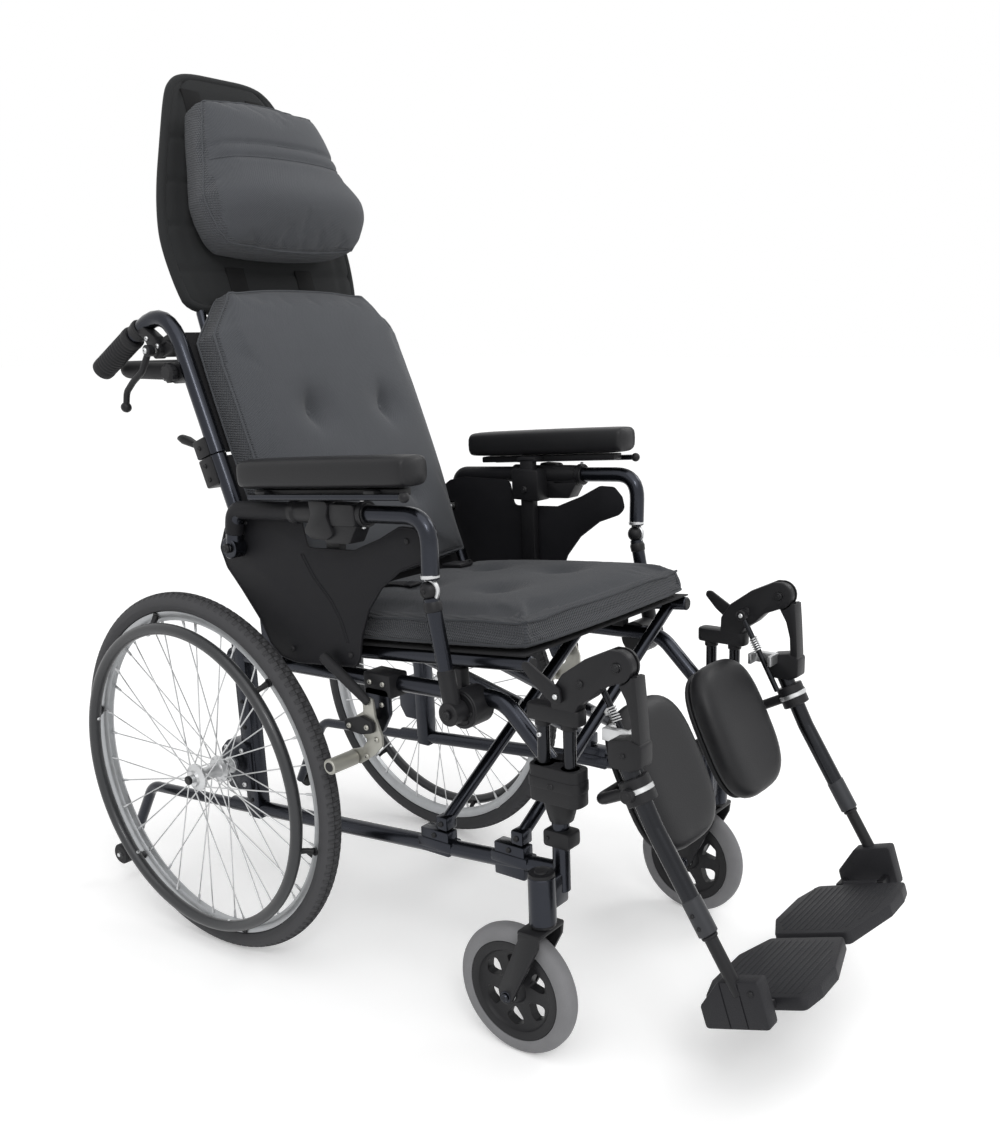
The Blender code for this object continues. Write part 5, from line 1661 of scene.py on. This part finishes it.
    def grip(self) -> None:
        """The ribbed push grip."""
        lay = self.lay
        profile = [(0.104, 0.0158), (0.106, 0.0176), (0.113, 0.018)]
        for k in range(12):
            at = 0.117 + k * 0.007
            profile += [(at, 0.0176), (at + 0.0012, 0.0168), (at + 0.003, 0.0168), (at + 0.0042, 0.0176)]
        profile += [(0.2055, 0.0178), (0.212, 0.0172), (0.2148, 0.014)]
        solid = tube([self.handle(t) for t, _ in profile], [r for _, r in profile], 28)
        piece = self.start("grip", lay.back).add(solid, GRIP)
        self.end(piece, "upper_back", "push_grip")

    def lever(self) -> None:
        """The recline lever: a bent, flattened bar with a round end."""
        lay, s, w = self.lay, self.lever_s, self.lever_w
        lx = lay.cane_x + 0.0235
        path = [(lx, s - a, w - b) for a, b in ((0, 0), (0.0217, 0.0327), (0.0274, 0.0628), (0.0356, 0.0869),
                                                (0.054, 0.1))]
        piece = self.start("lever_bar", lay.back)
        piece.add(tube(path, 0.0049, 14, bend=0.02))
        piece.add(tube([(lx - 0.006, s, w), (lx + 0.006, s, w)], 0.0088, 20))
        piece.add(ball((lx, s - 0.0556, w - 0.1012), 0.0083))
        piece.screw((lx + 0.006, s, w), 0.0046, BRIGHT)
        self.end(piece, "_lever", "recline_lever")


@dataclass
class StabiliserBar:
    """The foam-covered bar across the back, on two eyes."""

    lay: Layout
    x: float = 0.1935

    def build(self) -> None:
        """Makes the bar."""
        lay, x, (s, w) = self.lay, self.x, self.lay.bar
        path = [(x, s, w), (x, s + 0.07, w - 0.183), (-x, s + 0.07, w - 0.183), (-x, s, w)]
        piece = Shape("rear_bar", lay, frame=lay.back).add(tube(path, 0.014, 24, bend=0.035), GRIP)
        for a in (x, -x):
            piece.add(tube([(a - 0.0134, s, w), (a + 0.0134, s, w)], 0.0157, 24))
        piece.done("stabiliser", ["stabiliser_bar"])


@dataclass
class Armrest(Sided):
    """One armrest: front link, arm tube with its clamp, side panel, height post and pad."""

    x: float = 0.258
    elbow: tuple[float, float] = (-0.505, 0.769)
    panel_x: float = 0.2408
    panel_t: float = 0.0035
    pad_l: float = 0.332
    pad_w: float = 0.056
    pad_t: float = 0.046
    pad_rear: float = -0.154
    pad_slope: float = 0.0683
    pad_z: float = 0.7825

    def under(self, y: float) -> float:
        """The height of the pad's underside."""
        return self.pad_z + (self.pad_rear - y) * self.pad_slope

    def raised(self, x: float, y: float, z: float) -> Point:
        """A point of the rail, lifted along the pad's slope."""
        return x, y, z + (self.pad_rear - y) * self.pad_slope

    def build(self) -> None:
        """Makes the five pieces."""
        self.link()
        self.frame()
        self.panel()
        self.post()
        self.pad()

    def link(self) -> None:
        """The front post, on its eye, with the steel ring and ball at its top."""
        lay, x = self.lay, self.x
        py, pz = lay.arm_post
        by, bz = lay.link_top
        a, b = np.array((x, py, pz)), np.array((x, by, bz))
        t = unit(b - a)
        piece = self.start("front_post")
        piece.add(tube([a + t * 0.012, b - t * 0.01], 0.011, 22), STEEL)
        piece.add(bar(0.2448, 0.2713, py, pz, 0.0168))
        piece.add(tube([a + t * 0.01, a + t * 0.06], 0.0126, 22))
        piece.add(ball(b, 0.0133))
        piece.add(tube([(x, *q) for q in arc(by, bz, 0.0142, 62, 232, 17)], 0.0032, 10), BRIGHT)
        piece.screw((x + 0.0128, by, bz), 0.0036)
        piece.add(tube([b - t * 0.03, b - t * 0.02, b - t * 0.012], [0.0122, 0.0128, 0.01], 22))
        self.end(piece, "_link", "arm_link")

    def frame(self) -> None:
        """The bent arm tube, its rear hub, the clamp casting and the post's sleeve."""
        lay, x = self.lay, self.x
        qy, qz = lay.arm_pin
        by, bz = lay.link_top
        piece = self.start("arm_tube")
        corner, elbow = np.array((x, qy - 0.01, qz + 0.058)), np.array((x, *self.elbow))
        end = (x, by - 0.0022, bz + 0.0155)
        piece.add(tube([(x, qy, qz), corner, elbow, end], lay.tube, 22, bend=0.04), STEEL)
        piece.add(tube([(x, by - 0.0015, bz + 0.0225), (x, by - 0.0021, bz + 0.016)], 0.0132, 22), BRIGHT)
        piece.add(carved(bar(0.2467, 0.2693, qy, qz, 0.0163), [bar(0.23, 0.29, qy, qz, BORE)]), STEEL)
        run = unit(elbow - corner)
        rear = corner + run * 0.133
        cover = [(x, qy - 0.0035, qz + 0.021), corner, rear + run * 0.003]
        piece.add(tube(cover, lay.tube + 0.0013, 22, bend=0.04), PANEL)
        barrel = mm((0, 15), (0, 17.8), (7, 17.8), (10, 15), (40, 16.5), (120, 16.5), (136, 15), (139, 18.2),
                    (147, 18.2), (147, 15))
        piece.add(tube([rear + run * (d + 0.0002 * k) for k, (d, _) in enumerate(barrel)],
                       [r for _, r in barrel], 26))
        saddle = eased(mm((-298, 778.5), (-338, 778.5), (-332, 757), (-344, 732), (-330, 724), (-300, 724),
                          (-284, 732), (-302, 757)), 0.007)
        piece.add(slab(saddle, 0.258, 0.2795), bevel=0.005)
        block = eased(mm((-336, 775), (-384, 777), (-386, 747), (-336, 744)), 0.005)
        piece.add(slab(block, self.panel_x + self.panel_t + 0.0006, 0.2768), bevel=0.002)
        foot = eased(mm((-318, 750), (-388, 750), (-370, 721), (-322, 718)), 0.005)
        piece.add(slab(foot, self.panel_x + self.panel_t + 0.0006, 0.2745), bevel=0.002)
        for up, z in ((1, 0.7815), (-1, 0.7445)):
            piece.screw((x + 0.004, -0.388, z), 0.003, BRIGHT, axis=(0, 0, up))
        sleeve = box((0.2165, -0.324, 0.716), (0.252, -0.266, 0.77))
        slot = box((0.222, -0.3095, 0.7), (0.239, -0.2805, 0.79))
        piece.add(carved(bevelled(sleeve, 0.003), [slot]))
        piece.screw((0.2165, -0.295, 0.735), 0.006, axis=(-1, 0, 0))
        self.end(piece, "_arm", "arm_frame")

    def panel(self) -> None:
        """The moulded skirt guard, with a rolled rim and a swept groove."""
        lay = self.lay
        qy, qz = lay.arm_pin
        outline = mm((-136, 746), (-100, 738), (-66, 715), (-50, 682), (-62, 652), (-92, 620), (-130, 575),
                     (-148, 541), (-170, 523), (-205, 518), (-334, 530), (-343, 545), (-350, 580),
                     (-368, 621), (-397, 657), (-438, 687), (-478, 702), (-489, 712), (-484, 732),
                     (-468, 748), (-440, 748), (-400, 727), (-348, 706), (-250, 701), (-240, 746))
        smooth = eased(outline, 0.012, 5)
        piece = self.start("skirt_guard")
        x0, x1 = self.panel_x, self.panel_x + self.panel_t
        hole = bar(x0 - 0.01, x1 + 0.01, qy, qz, 0.0088)
        sweep = mm((-236, 690), (-257, 658), (-289, 627), (-307, 599), (-318, 566))
        groove = tube([(x1 + 0.0016, *q) for q in sweep], 0.0032, 12, bend=0.05)
        piece.add(carved(bevelled(slab(smooth, x0, x1), 0.001), [hole, groove]), PANEL)
        piece.add(tube([(x1, q[0] - 0.0035, q[1]) for q in sweep], 0.0012, 8, bend=0.05), PANEL)
        bead = [(x1 - 0.0004, (p[0] + 0.275) * 0.985 - 0.275, (p[1] - 0.64) * 0.982 + 0.64) for p in smooth]
        piece.add(tube(bead, 0.0014, 8, loop=True), PANEL)
        for y, z in mm((-118, 728), (-450, 728), (-200, 540), (-325, 548)):
            piece.screw((x1, y, z), 0.0042)
        self.end(piece, "_arm", "side_panel")

    def post(self) -> None:
        """The height post, its bridge and rail, and the release rod with its ball tip."""
        x = self.x
        front = self.pad_rear - self.pad_l
        piece = self.start("pad_post")
        piece.add(box((x - 0.012, front + 0.02, self.pad_z - 0.011),
                      (x + 0.012, self.pad_rear - 0.022, self.pad_z - 0.0006)), PLASTIC, self.raised, 0.002)
        piece.add(box((0.2225, -0.315, self.pad_z - 0.01), (x, -0.275, self.pad_z - 0.001)), PLASTIC,
                  self.raised, 0.002)
        piece.add(box((0.2225, -0.309, 0.6), (0.2365, -0.281, self.under(-0.281) - 0.004)), bevel=0.002)
        for k in range(4):
            piece.add(bar(0.2364, 0.23665, -0.295, 0.615 + 0.02 * k, 0.0036, 16), BRIGHT)
        aft, fore = self.pad_rear - 0.025, front + 0.003
        rod = [(x + 0.024, aft, self.under(aft) - 0.01), (x + 0.024, fore, self.under(fore) - 0.01)]
        piece.add(tube(rod, 0.0047, 14), STEEL)
        for y in (aft - 0.025, front + 0.063):
            piece.add(box((x, y - 0.01, self.pad_z - 0.0105), (x + 0.026, y + 0.01, self.pad_z - 0.0014)),
                      PLASTIC, self.raised, 0.002)
        piece.add(ball((x + 0.024, fore - 0.003, self.under(fore) - 0.01), 0.0074))
        self.end(piece, "_arm_rest", "arm_post")

    def pad(self) -> None:
        """The skinned foam pad: a long rounded bar, full at its middle."""
        x = self.x
        mid = self.pad_rear - self.pad_l / 2
        half_t = self.pad_t * 0.46
        n, m = 60, 28
        verts = []
        for j in range(n + 1):
            t = -1 + 2 * j / n
            v = signed(t, 0.7)
            end = max(0.0, 1 - abs(v) ** 14) ** 0.33
            for k in range(m):
                a = 2 * pi * k / m
                c, s = cos(a), sin(a)
                u = signed(c, 0.55) * self.pad_w / 2
                w = signed(s, 0.5)
                swell = 1 + 0.035 * cos(v * pi / 2)
                y = mid + v * self.pad_l / 2 * (1 - 0.006 * abs(w) ** 2)
                lift = half_t * (1 + w * (0.86 + 0.14 * end) * swell)
                verts.append((x + u * (0.8 + 0.2 * end), y, self.under(y) + lift))
        low = min(p[2] - self.under(p[1]) for p in verts)
        verts = [(p[0], p[1], p[2] - low + 0.0003) for p in verts]
        faces = loft(n + 1, m) + caps(n + 1, m)
        piece = self.start("pad").add((verts, faces), SKIN)
        made = self.end(piece, "_arm_rest", "arm_pad", 70)


@dataclass
class Legrest(Sided):
    """One elevating legrest: hanger, release lever, leg tube, rod, stem, footplate and calf pad."""

    knee: tuple[float, float] = (-0.79, 0.6)
    hinge_x: float = 0.196
    toe: float = 0.086
    plate_t: float = 0.02
    calf: tuple[float, float, float] = (0.165, 0.212, 0.045)
    calf_lean: float = 26.0
    rod_at: tuple[float, float] = (-0.735, 0.566)
    release_at: tuple[float, float] = (-0.7, 0.549)
    top: tuple[float, float] = (-0.79, 0.485)
    turn: tuple[float, float] = (-0.838, 0.392)
    low: tuple[float, float] = (-0.918, 0.266)

    def along(self) -> np.ndarray:
        """The way that the foot stem slides."""
        return unit((0.0, self.low[0] - self.turn[0], self.low[1] - self.turn[1]))

    def build(self) -> None:
        """Makes the seven pieces."""
        self.hanger()
        self.release()
        self.leg()
        self.rod()
        self.stem()
        self.plate()
        self.calf_pad()

    def hanger(self) -> None:
        """The moulded case on its two tubes, with its screws."""
        x = self.lay.hanger_x
        ky, kz = self.knee
        piece = self.start("hanger_case")
        outline = eased([(-0.686, 0.522), (-0.687, 0.553), (-0.704, 0.577), (-0.7406, 0.603),
                         (-0.78, 0.6215), *arc(ky, kz, 0.022, 80, 270, 13), (-0.766, 0.568), (-0.75, 0.552),
                         (-0.731, 0.539), (-0.722, 0.522)], 0.008)
        knee = bar(x - 0.03, x + 0.03, ky, kz, BORE)
        slot = box((x - 0.0064, -0.85, 0.54), (x + 0.0064, ky + 0.0225, 0.66))
        piece.add(carved(bevelled(slab(outline, x - 0.0123, x + 0.0123), 0.0035), [knee, slot]))
        ring = eased([(x - 0.0135, -0.731), (x + 0.0135, -0.731), (x + 0.0135, -0.643),
                      (x - 0.0135, -0.643)], 0.012)
        piece.add(plan(ring, 0.508, 0.531), bevel=0.004)
        for out in (-1, 1):
            piece.screw((x + 0.0123 * out, -0.735, 0.57), 0.0052, axis=(out, 0, 0))
        pin = self.lay.hanger_tubes[0]
        for y in self.lay.hanger_tubes:
            tall = tube([(x, y, self.lay.latch_top + 0.0008), (x, y, 0.528)], 0.0089, 20)
            if y == pin:
                tall = carved(tall, [tube([(x, y, 0.42), (x, y, self.lay.latch_top + 0.056)], 0.0062, 20)])
            piece.add(tall, LEG_COAT)
            piece.add(tube([(x, y, 0.5), (x, y, 0.51)], 0.0112, 20))
        piece.screw((x + 0.0089, pin, 0.488), 0.0036, BRIGHT)
        piece.add(bar(x, x + 0.0212, *self.release_at, THIN_PIN, 14), BRIGHT)
        piece.add(bar(x - 0.0358, x, *self.rod_at, THIN_PIN, 14), BRIGHT)
        self.end(piece, "_hanger", "legrest_hanger")

    def release(self) -> None:
        """The swing-away release lever."""
        x = self.lay.hanger_x
        outline = eased(mm((-709, 541), (-694, 538), (-664, 560), (-645, 580), (-647, 588), (-656, 588),
                           (-706, 559)), 0.005)
        eye = bar(x, x + 0.03, *self.release_at, THIN_BORE, 16)
        piece = self.start("release")
        piece.add(carved(bevelled(slab(outline, x + 0.0132, x + 0.0183), 0.0012), [eye]))
        self.end(piece, "_release", "release_lever")

    def leg(self) -> None:
        """The knee block and the bent leg tube with its sleeve."""
        x = self.lay.hanger_x
        ky, kz = self.knee
        top, turn, low = ((x, *p) for p in (self.top, self.turn, self.low))
        along = self.along()
        piece = self.start("leg_bar")
        piece.add(tube([top, turn, low], self.lay.tube, 22, bend=0.035), LEG_COAT)
        heart = eased(mm((-827.5, 504), (-827.5, 473), (-812, 466), (-780, 466), (-776.5, 478), (-777, 503),
                         (-808, 509)), 0.006)
        piece.add(slab(heart, x - 0.0145, x + 0.0145), bevel=0.0025)
        drop = [(-0.8175, 0.5895), *arc(ky, kz, 0.0232, 205, 262, 7), (-0.8035, 0.56), (-0.8105, 0.535),
                (-0.8125, 0.505), (-0.8125, 0.478), (-0.826, 0.474), (-0.8245, 0.51), (-0.8205, 0.56)]
        piece.add(slab(drop, x - 0.0125, x + 0.0125), bevel=0.0012)
        neck = mm((-816.5, 592), (-816.5, 566), (-800, 562), (-785, 584))
        piece.add(slab(neck, x - 0.0057, x + 0.0057))
        piece.add(bar(x - 0.0057, x + 0.0057, ky, kz, 0.0204, 36))
        piece.add(bar(x - 0.0128, x + 0.0128, ky, kz, PIN), BRIGHT)
        for out in (-1, 1):
            piece.screw((x + 0.0126 * out, ky, kz), 0.0062, axis=(out, 0, 0))
        piece.screw((x + 0.0145, -0.8, 0.486), 0.0036)
        fork = carved(box((x - 0.04, -0.792, 0.491), (x - 0.01, -0.752, 0.508)),
                      [box((x - 0.05, -0.786, 0.47), (x - 0.0215, -0.758, 0.52))])
        piece.add(fork, BRIGHT, bevel=0.0012)
        end = np.array(low)
        piece.add(tube([end - along * 0.05, end + along * 0.0005], 0.0136, 24), SLEEVE)
        for d in (0.012, 0.03):
            p = end - along * d
            piece.screw((x + 0.0136, p[1], p[2]), 0.003)
        self.end(piece, "_leg", "leg_tube")

    def rod(self) -> None:
        """The adjusting rod on its ring, with its spring."""
        x = self.lay.hanger_x
        ry, rz = self.rod_at
        start = np.array((x - 0.0285, ry, rz))
        run = unit((0, -0.037, -0.066))
        piece = self.start("adjusting_rod")
        bore = bar(x - 0.06, x - 0.01, ry, rz, THIN_BORE)
        piece.add(carved(bar(x - 0.0345, x - 0.0225, ry, rz, 0.0085), [bore]))
        piece.add(tube([start + run * 0.007, start + 0.133 * run], 0.0044, 14), LEG_COAT)
        side = np.array((1.0, 0, 0))
        other = np.cross(run, side)
        coil = []
        for k in range(73):
            a = 2 * pi * 6 * k / 72
            coil.append(start + run * (0.04 + 0.022 * k / 72) + 0.006 * (cos(a) * side + sin(a) * other))
        piece.add(tube(coil, 0.0011, 6), BRIGHT)
        self.end(piece, "_rod", "leg_rod")

    def stem(self) -> None:
        """The foot stem with its outer wall, two grooves, hinge ears and pin."""
        x, lay = self.lay.hanger_x, self.lay
        along = self.along()
        low = np.array((x, *self.low))
        piece = self.start("foot_post")
        piece.add(tube([low - 0.07 * along, low + 0.085 * along], 0.009, 22))
        piece.add(tube([low + 0.001 * along, low + 0.006 * along], 0.0112, 22))
        outline = eased(mm((-44, -20), (52, -20), (52, 45), (-8, 45), (-44, 12)), 0.006)
        wall = bevelled(slab(outline, x - 0.017, x + 0.0075), 0.003)
        cuts = [box((x + 0.0062, a, -0.03), (x + 0.02, a + 0.0022, 0.06)) for a in (-0.006, 0.02)]
        piece.add(carved(wall, cuts), PLATE, lay.foot)
        for at in (-0.042, 0.029):
            piece.add(box((self.hinge_x - 0.0058, at + 0.0004, -0.0128), (x, at + 0.0106, -0.0007)), PLASTIC,
                      lay.foot, 0.0015)
        pin = [(self.hinge_x, a, -0.006) for a in (-0.037, 0.036)]
        piece.add(tube(pin, THIN_PIN, 14), BRIGHT, lay.foot)
        piece.screw((x + 0.0075, 0.038, 0.03), 0.004, frame=lay.foot)
        self.end(piece, "_stem", "foot_stem")

    def plate(self) -> None:
        """The footplate: a thick moulded plate with raised tread ribs and a hinge knuckle."""
        lay = self.lay
        outline = eased([(0.187, -0.07), (0.187, 0.078), (0.15, self.toe), (0.1, self.toe), (0.006, 0.058),
                         (0.006, -0.06), (0.06, -0.086), (0.14, -0.086)], 0.01, 5)
        piece = self.start("foot_tread", lay.foot)
        piece.add(plan(outline, -self.plate_t, -0.0006), PLATE, bevel=0.0028)
        for k in range(15):
            a = -0.07 + 0.0098 * k
            x0 = 0.018 + max(0.0, -0.05 - a) * 1.4 + max(0.0, a - 0.045) * 2.6
            piece.add(box((x0, a - 0.0017, -0.0022), (0.176, a + 0.0017, 0.0)), PLATE, bevel=0.0005)
        knuckle = tube([(self.hinge_x, a, -0.006) for a in (-0.0303, 0.0283)], 0.0071, 22)
        bore = tube([(self.hinge_x, a, -0.006) for a in (-0.06, 0.06)], THIN_BORE, 18)
        piece.add(carved(knuckle, [bore]), PLATE)
        web = box((0.18, -0.028, -0.0105), (self.hinge_x - 0.0045, 0.026, -0.0015))
        piece.add(web, PLATE, bevel=0.0008)
        self.end(piece, "_foot", "footplate")

    def calf_pad(self) -> None:
        """The calf pad: skinned foam on a moulded back, with its strut, clamp and knob."""
        x = self.lay.hanger_x
        lean_a = radians(self.calf_lean)
        top = np.array((x, *self.top))
        axis = unit((0.0, self.turn[0] - self.top[0], self.turn[1] - self.top[1]))
        lean = np.array((0, -sin(lean_a), -cos(lean_a)))
        behind = np.array((0, -lean[2], lean[1]))
        hold = top + axis * 0.052
        centre = hold + lean * 0.006 + behind * 0.07 + np.array((-0.124, 0, 0))
        width, tall, thick = self.calf

        def place(u: float, v: float, w: float) -> Point:
            return tuple(centre + np.array((u, 0, 0)) - lean * v - behind * w)

        pad = self.start("calf_foam")
        pad.add(self.lens(width / 2, tall / 2, thick * 0.16, thick + 0.006), SKIN, place)
        pad.add(self.lens(width / 2 - 0.004, tall / 2 - 0.004, 0.0004, thick * 0.34), PLASTIC, place)
        made = self.end(pad, "_calf", "calf_pad", 60)
        piece = self.start("calf_bracket")
        strut = [hold + b * behind + (a, 0, 0) for a, b in mm((0, 12), (-12, 78), (-75, 82), (-110, 66))]
        piece.add(tube(strut, 0.008, 16, bend=0.025))
        clamp = carved(tube([hold - 0.017 * axis, hold + 0.017 * axis], 0.0213, 28),
                       [tube([hold - 0.05 * axis, hold + 0.05 * axis], 0.013, 28)])
        piece.add(clamp)
        piece.add(tube([hold + (0.0195, 0, 0), hold + (0.022, 0, 0), hold + (0.03, 0, 0),
                        hold + (0.032, 0, 0)], [0.006, 0.0095, 0.0092, 0.007], 20))
        ring = carved(tube([hold - 0.004 * axis, hold + 0.004 * axis], 0.0219, 28),
                      [tube([hold - 0.05 * axis, hold + 0.05 * axis], 0.02, 28)])
        piece.add(ring, BRIGHT)
        piece.done(self.side.word + "_calf")

    def lens(self, half_u: float, half_v: float, back: float, face: float) -> Solid:
        """A rounded pad between two depths, in (u, v, w)."""
        rows, cols = 20, 48
        verts, faces = [], []
        for level in (0, 1):
            for i in range(rows + 1):
                t = sin(pi / 2 * i / rows)
                for k in range(cols):
                    a = 2 * pi * k / cols
                    c, s = cos(a), sin(a)
                    u = signed(c, 0.62) * half_u * t
                    v = signed(s, 0.62) * half_v * t
                    rim = max(0.0, 1 - t ** 7) ** 0.42
                    mid = back + (face - back) * 0.42
                    dish = 0.003 * (1 - (u / half_u) ** 2)
                    w = mid + (face - mid - dish) * rim if level else mid - (mid - back) * rim
                    verts.append((u, v, w))
        n = (rows + 1) * cols
        for i in range(rows):
            for k in range(cols):
                q = (k + 1) % cols
                a, b, c, d = i * cols + k, i * cols + q, (i + 1) * cols + q, (i + 1) * cols + k
                if i == 0:
                    faces.append((n + c, n + d, n + a))
                    faces.append((d, c, a))
                else:
                    faces.append((n + a, n + b, n + c, n + d))
                    faces.append((d, c, b, a))

        def weld(work: bmesh.types.BMesh) -> None:
            bmesh.ops.remove_doubles(work, verts=work.verts, dist=1e-6)

        return worked((verts, faces), weld)


@dataclass
class WheelLock(Sided):
    """The wheel lock: a steel plate, a knurled shoe and a black handle."""

    x: float = 0.25
    shoe: tuple[float, float] = (-0.325, 0.392)

    def build(self) -> None:
        """Makes the lock."""
        x = self.x
        ly, lz = self.lay.lock
        piece = self.start("brake")
        outline = eased(mm((-350, 492), (-370, 490), (-373, 462), (-384, 436), (-384, 420), (-366, 402),
                           (-336, 383), (-318, 384), (-316, 402), (-343, 410), (-355, 424), (-333, 440),
                           (-333, 458), (-350, 468)), 0.005)
        eye = bar(x - 0.02, x + 0.02, ly, lz, 0.0055)
        piece.add(carved(bevelled(slab(outline, x - 0.002, x + 0.0029), 0.001), [eye]), ZINC)
        arm = eased(mm((-374, 440), (-374, 457), (-352, 463), (-318, 453), (-318, 437), (-350, 434)), 0.006)
        piece.add(slab(arm, x + 0.0031, x + 0.011), bevel=0.0015)
        for y, z in ((-0.364, 0.448), (-0.328, 0.445)):
            piece.screw((x + 0.011, y, z), 0.0042, ZINC)
        for y, z in ((-0.374, 0.428), (-0.352, 0.398)):
            piece.screw((x + 0.0029, y, z), 0.0046, ZINC)
        ribs = [(x - 0.015, 0.01), (x + 0.004, 0.01), (x + 0.0045, 0.0118)]
        for k in range(22):
            at = x + 0.006 + 0.0021 * k
            ribs += [(at, 0.0118), (at + 0.001, 0.0118), (at + 0.0013, 0.0113), (at + 0.0018, 0.0113)]
        ribs += [(x + 0.0525, 0.0118), (x + 0.0535, 0.011)]
        piece.add(tube([(a, *self.shoe) for a, _ in ribs], [r for _, r in ribs], 26), ZINC)
        piece.add(bar(x + 0.053, x + 0.0539, *self.shoe, 0.0072, 20))
        knob = [(x + 0.0045, -0.364, 0.484), (x + 0.006, -0.345, 0.499), (x + 0.0085, -0.292, 0.536),
                (x + 0.0085, -0.281, 0.544)]
        piece.add(tube(knob, [0.0062, 0.0075, 0.0088, 0.008], 20), GRIP)
        self.end(piece, "_lock", "wheel_lock")


@dataclass
class Studio:
    """The camera of the photo, a pale floor and soft lights."""

    lay: Layout
    place: tuple[float, float, float] = (-1.36794, -1.53641, 0.99927)
    yaw: float = 0.988607
    pitch: float = 0.271938
    roll: float = -0.009741
    focal: float = 1137.02
    middle: tuple[float, float] = (620.0, 650.04)
    picture: tuple[int, int] = (1000, 1125)
    lights: Sequence[tuple[str, Point, float, float]] = (
        ("key", (-2.4, -2.8, 3.2), 1.0, 36.0),
        ("fill", (2.6, -1.2, 2.6), 1.2, 20.0),
    )
    sun: float = 1.05
    sky: float = 0.6
    lift: float = 0.24
    rays: tuple[str, ...] = ("Is Camera Ray", "Is Glossy Ray", "Is Transmission Ray")

    def build(self) -> None:
        """Sets the camera, the floor, the lights and the world."""
        self.camera()
        self.floor()
        for name, at, size, power in self.lights:
            self.lamp(name, at, size, power)
        self.daylight()
        self.world()
        bpy.context.scene.view_settings.view_transform = "Standard"

    def camera(self) -> None:
        """A camera where the photo was taken from."""
        data = bpy.data.cameras.new("camera")
        long_side = max(self.picture)
        data.sensor_width = 36.0
        data.lens = 36.0 * self.focal / long_side
        data.shift_x = (self.picture[0] / 2 - self.middle[0]) / long_side
        data.shift_y = (self.middle[1] - self.picture[1] / 2) / long_side
        made = linked("camera", data)
        cy, sy = cos(self.yaw), sin(self.yaw)
        cp, sp = cos(self.pitch), sin(self.pitch)
        ahead = Vector((sy * cp, cy * cp, -sp))
        right = Vector((cy, -sy, 0.0))
        up = right.cross(ahead)
        c, s = cos(self.roll), sin(self.roll)
        turn = Matrix((c * right + s * up, c * up - s * right, -ahead)).transposed()
        made.matrix_world = turn.to_4x4()
        made.location = Vector((self.place[0], self.place[1] + self.lay.axle_y, self.place[2]))
        bpy.context.scene.camera = made

    def floor(self) -> None:
        """A wide pale floor that keeps the chair's shadow."""
        mesh = bpy.data.meshes.new("floor")
        mesh.from_pydata([(-40, -40, 0), (40, -40, 0), (40, 40, 0), (-40, 40, 0)], [], [(0, 1, 2, 3)])
        made = linked("floor", mesh)
        graph = Graph(bpy.data.materials.new("floor_paper"))
        tone = graph.noise(graph.spot(), 3, 2)
        glow = graph.mix(graph.seen_by(self.rays), (0, 0, 0, 1), (self.lift, self.lift, self.lift, 1))
        graph.surface(Base_Color=graph.mix(tone, (0.93, 0.93, 0.93, 1), (0.95, 0.95, 0.95, 1)),
                      Roughness=0.9, Specular_IOR_Level=0.0, Emission_Color=glow, Emission_Strength=1.0)
        mesh.materials.append(graph.owner)

    def lamp(self, name: str, at: Point, size: float, power: float) -> None:
        """A soft square light that faces the chair."""
        data = bpy.data.lights.new(name, "AREA")
        data.shape = "SQUARE"
        data.size = size
        data.energy = power
        made = linked(name, data)
        made.location = at
        made.rotation_euler = (Vector((0, 0, 0.6)) - Vector(at)).to_track_quat("-Z", "Y").to_euler()

    def daylight(self) -> None:
        """A wide, even light from above that leaves the floor white to its far edge."""
        data = bpy.data.lights.new("daylight", "SUN")
        data.energy = self.sun
        data.angle = radians(70)
        made = linked("daylight", data)
        made.rotation_euler = (radians(26), radians(-18), 0)

    def world(self) -> None:
        """An even white surround, bright to the camera and softer as light."""
        graph = Graph(bpy.data.worlds.new("studio"), "Background")
        bpy.context.scene.world = graph.owner
        strength = graph.out("ShaderNodeMix", {}, {0: graph.seen_by(self.rays), 2: self.sky, 3: 1.0})
        graph.surface(Color=(1, 1, 1, 1), Strength=strength)


def main() -> None:
    """Builds the chair's pieces in order, then the studio."""
    logging.basicConfig(level=logging.INFO, format="%(message)s")
    for old in list(bpy.data.objects):
        bpy.data.objects.remove(old, do_unlink=True)
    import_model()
    lo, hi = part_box("right_rear_wheel")
    lay = Layout((lo[1] + hi[1]) / 2)
    parts: list[Part] = [CrossBrace(lay, "cross_brace_a", 1, 0.0),
                         CrossBrace(lay, "cross_brace_b", -1, 0.024),
                         Seat(lay), Backrest(lay), HeadSupport(lay), StabiliserBar(lay)]
    for side in Side:
        parts += [SideFrame(lay, side), RearWheel(lay, side), Caster(lay, side), BackCanes(lay, side),
                  Armrest(lay, side), Legrest(lay, side), WheelLock(lay, side)]
    for part in parts:
        part.build()
        LOG.info("built %s", type(part).__name__)
    Studio(lay).build()


if __name__ == "__main__":
    main()
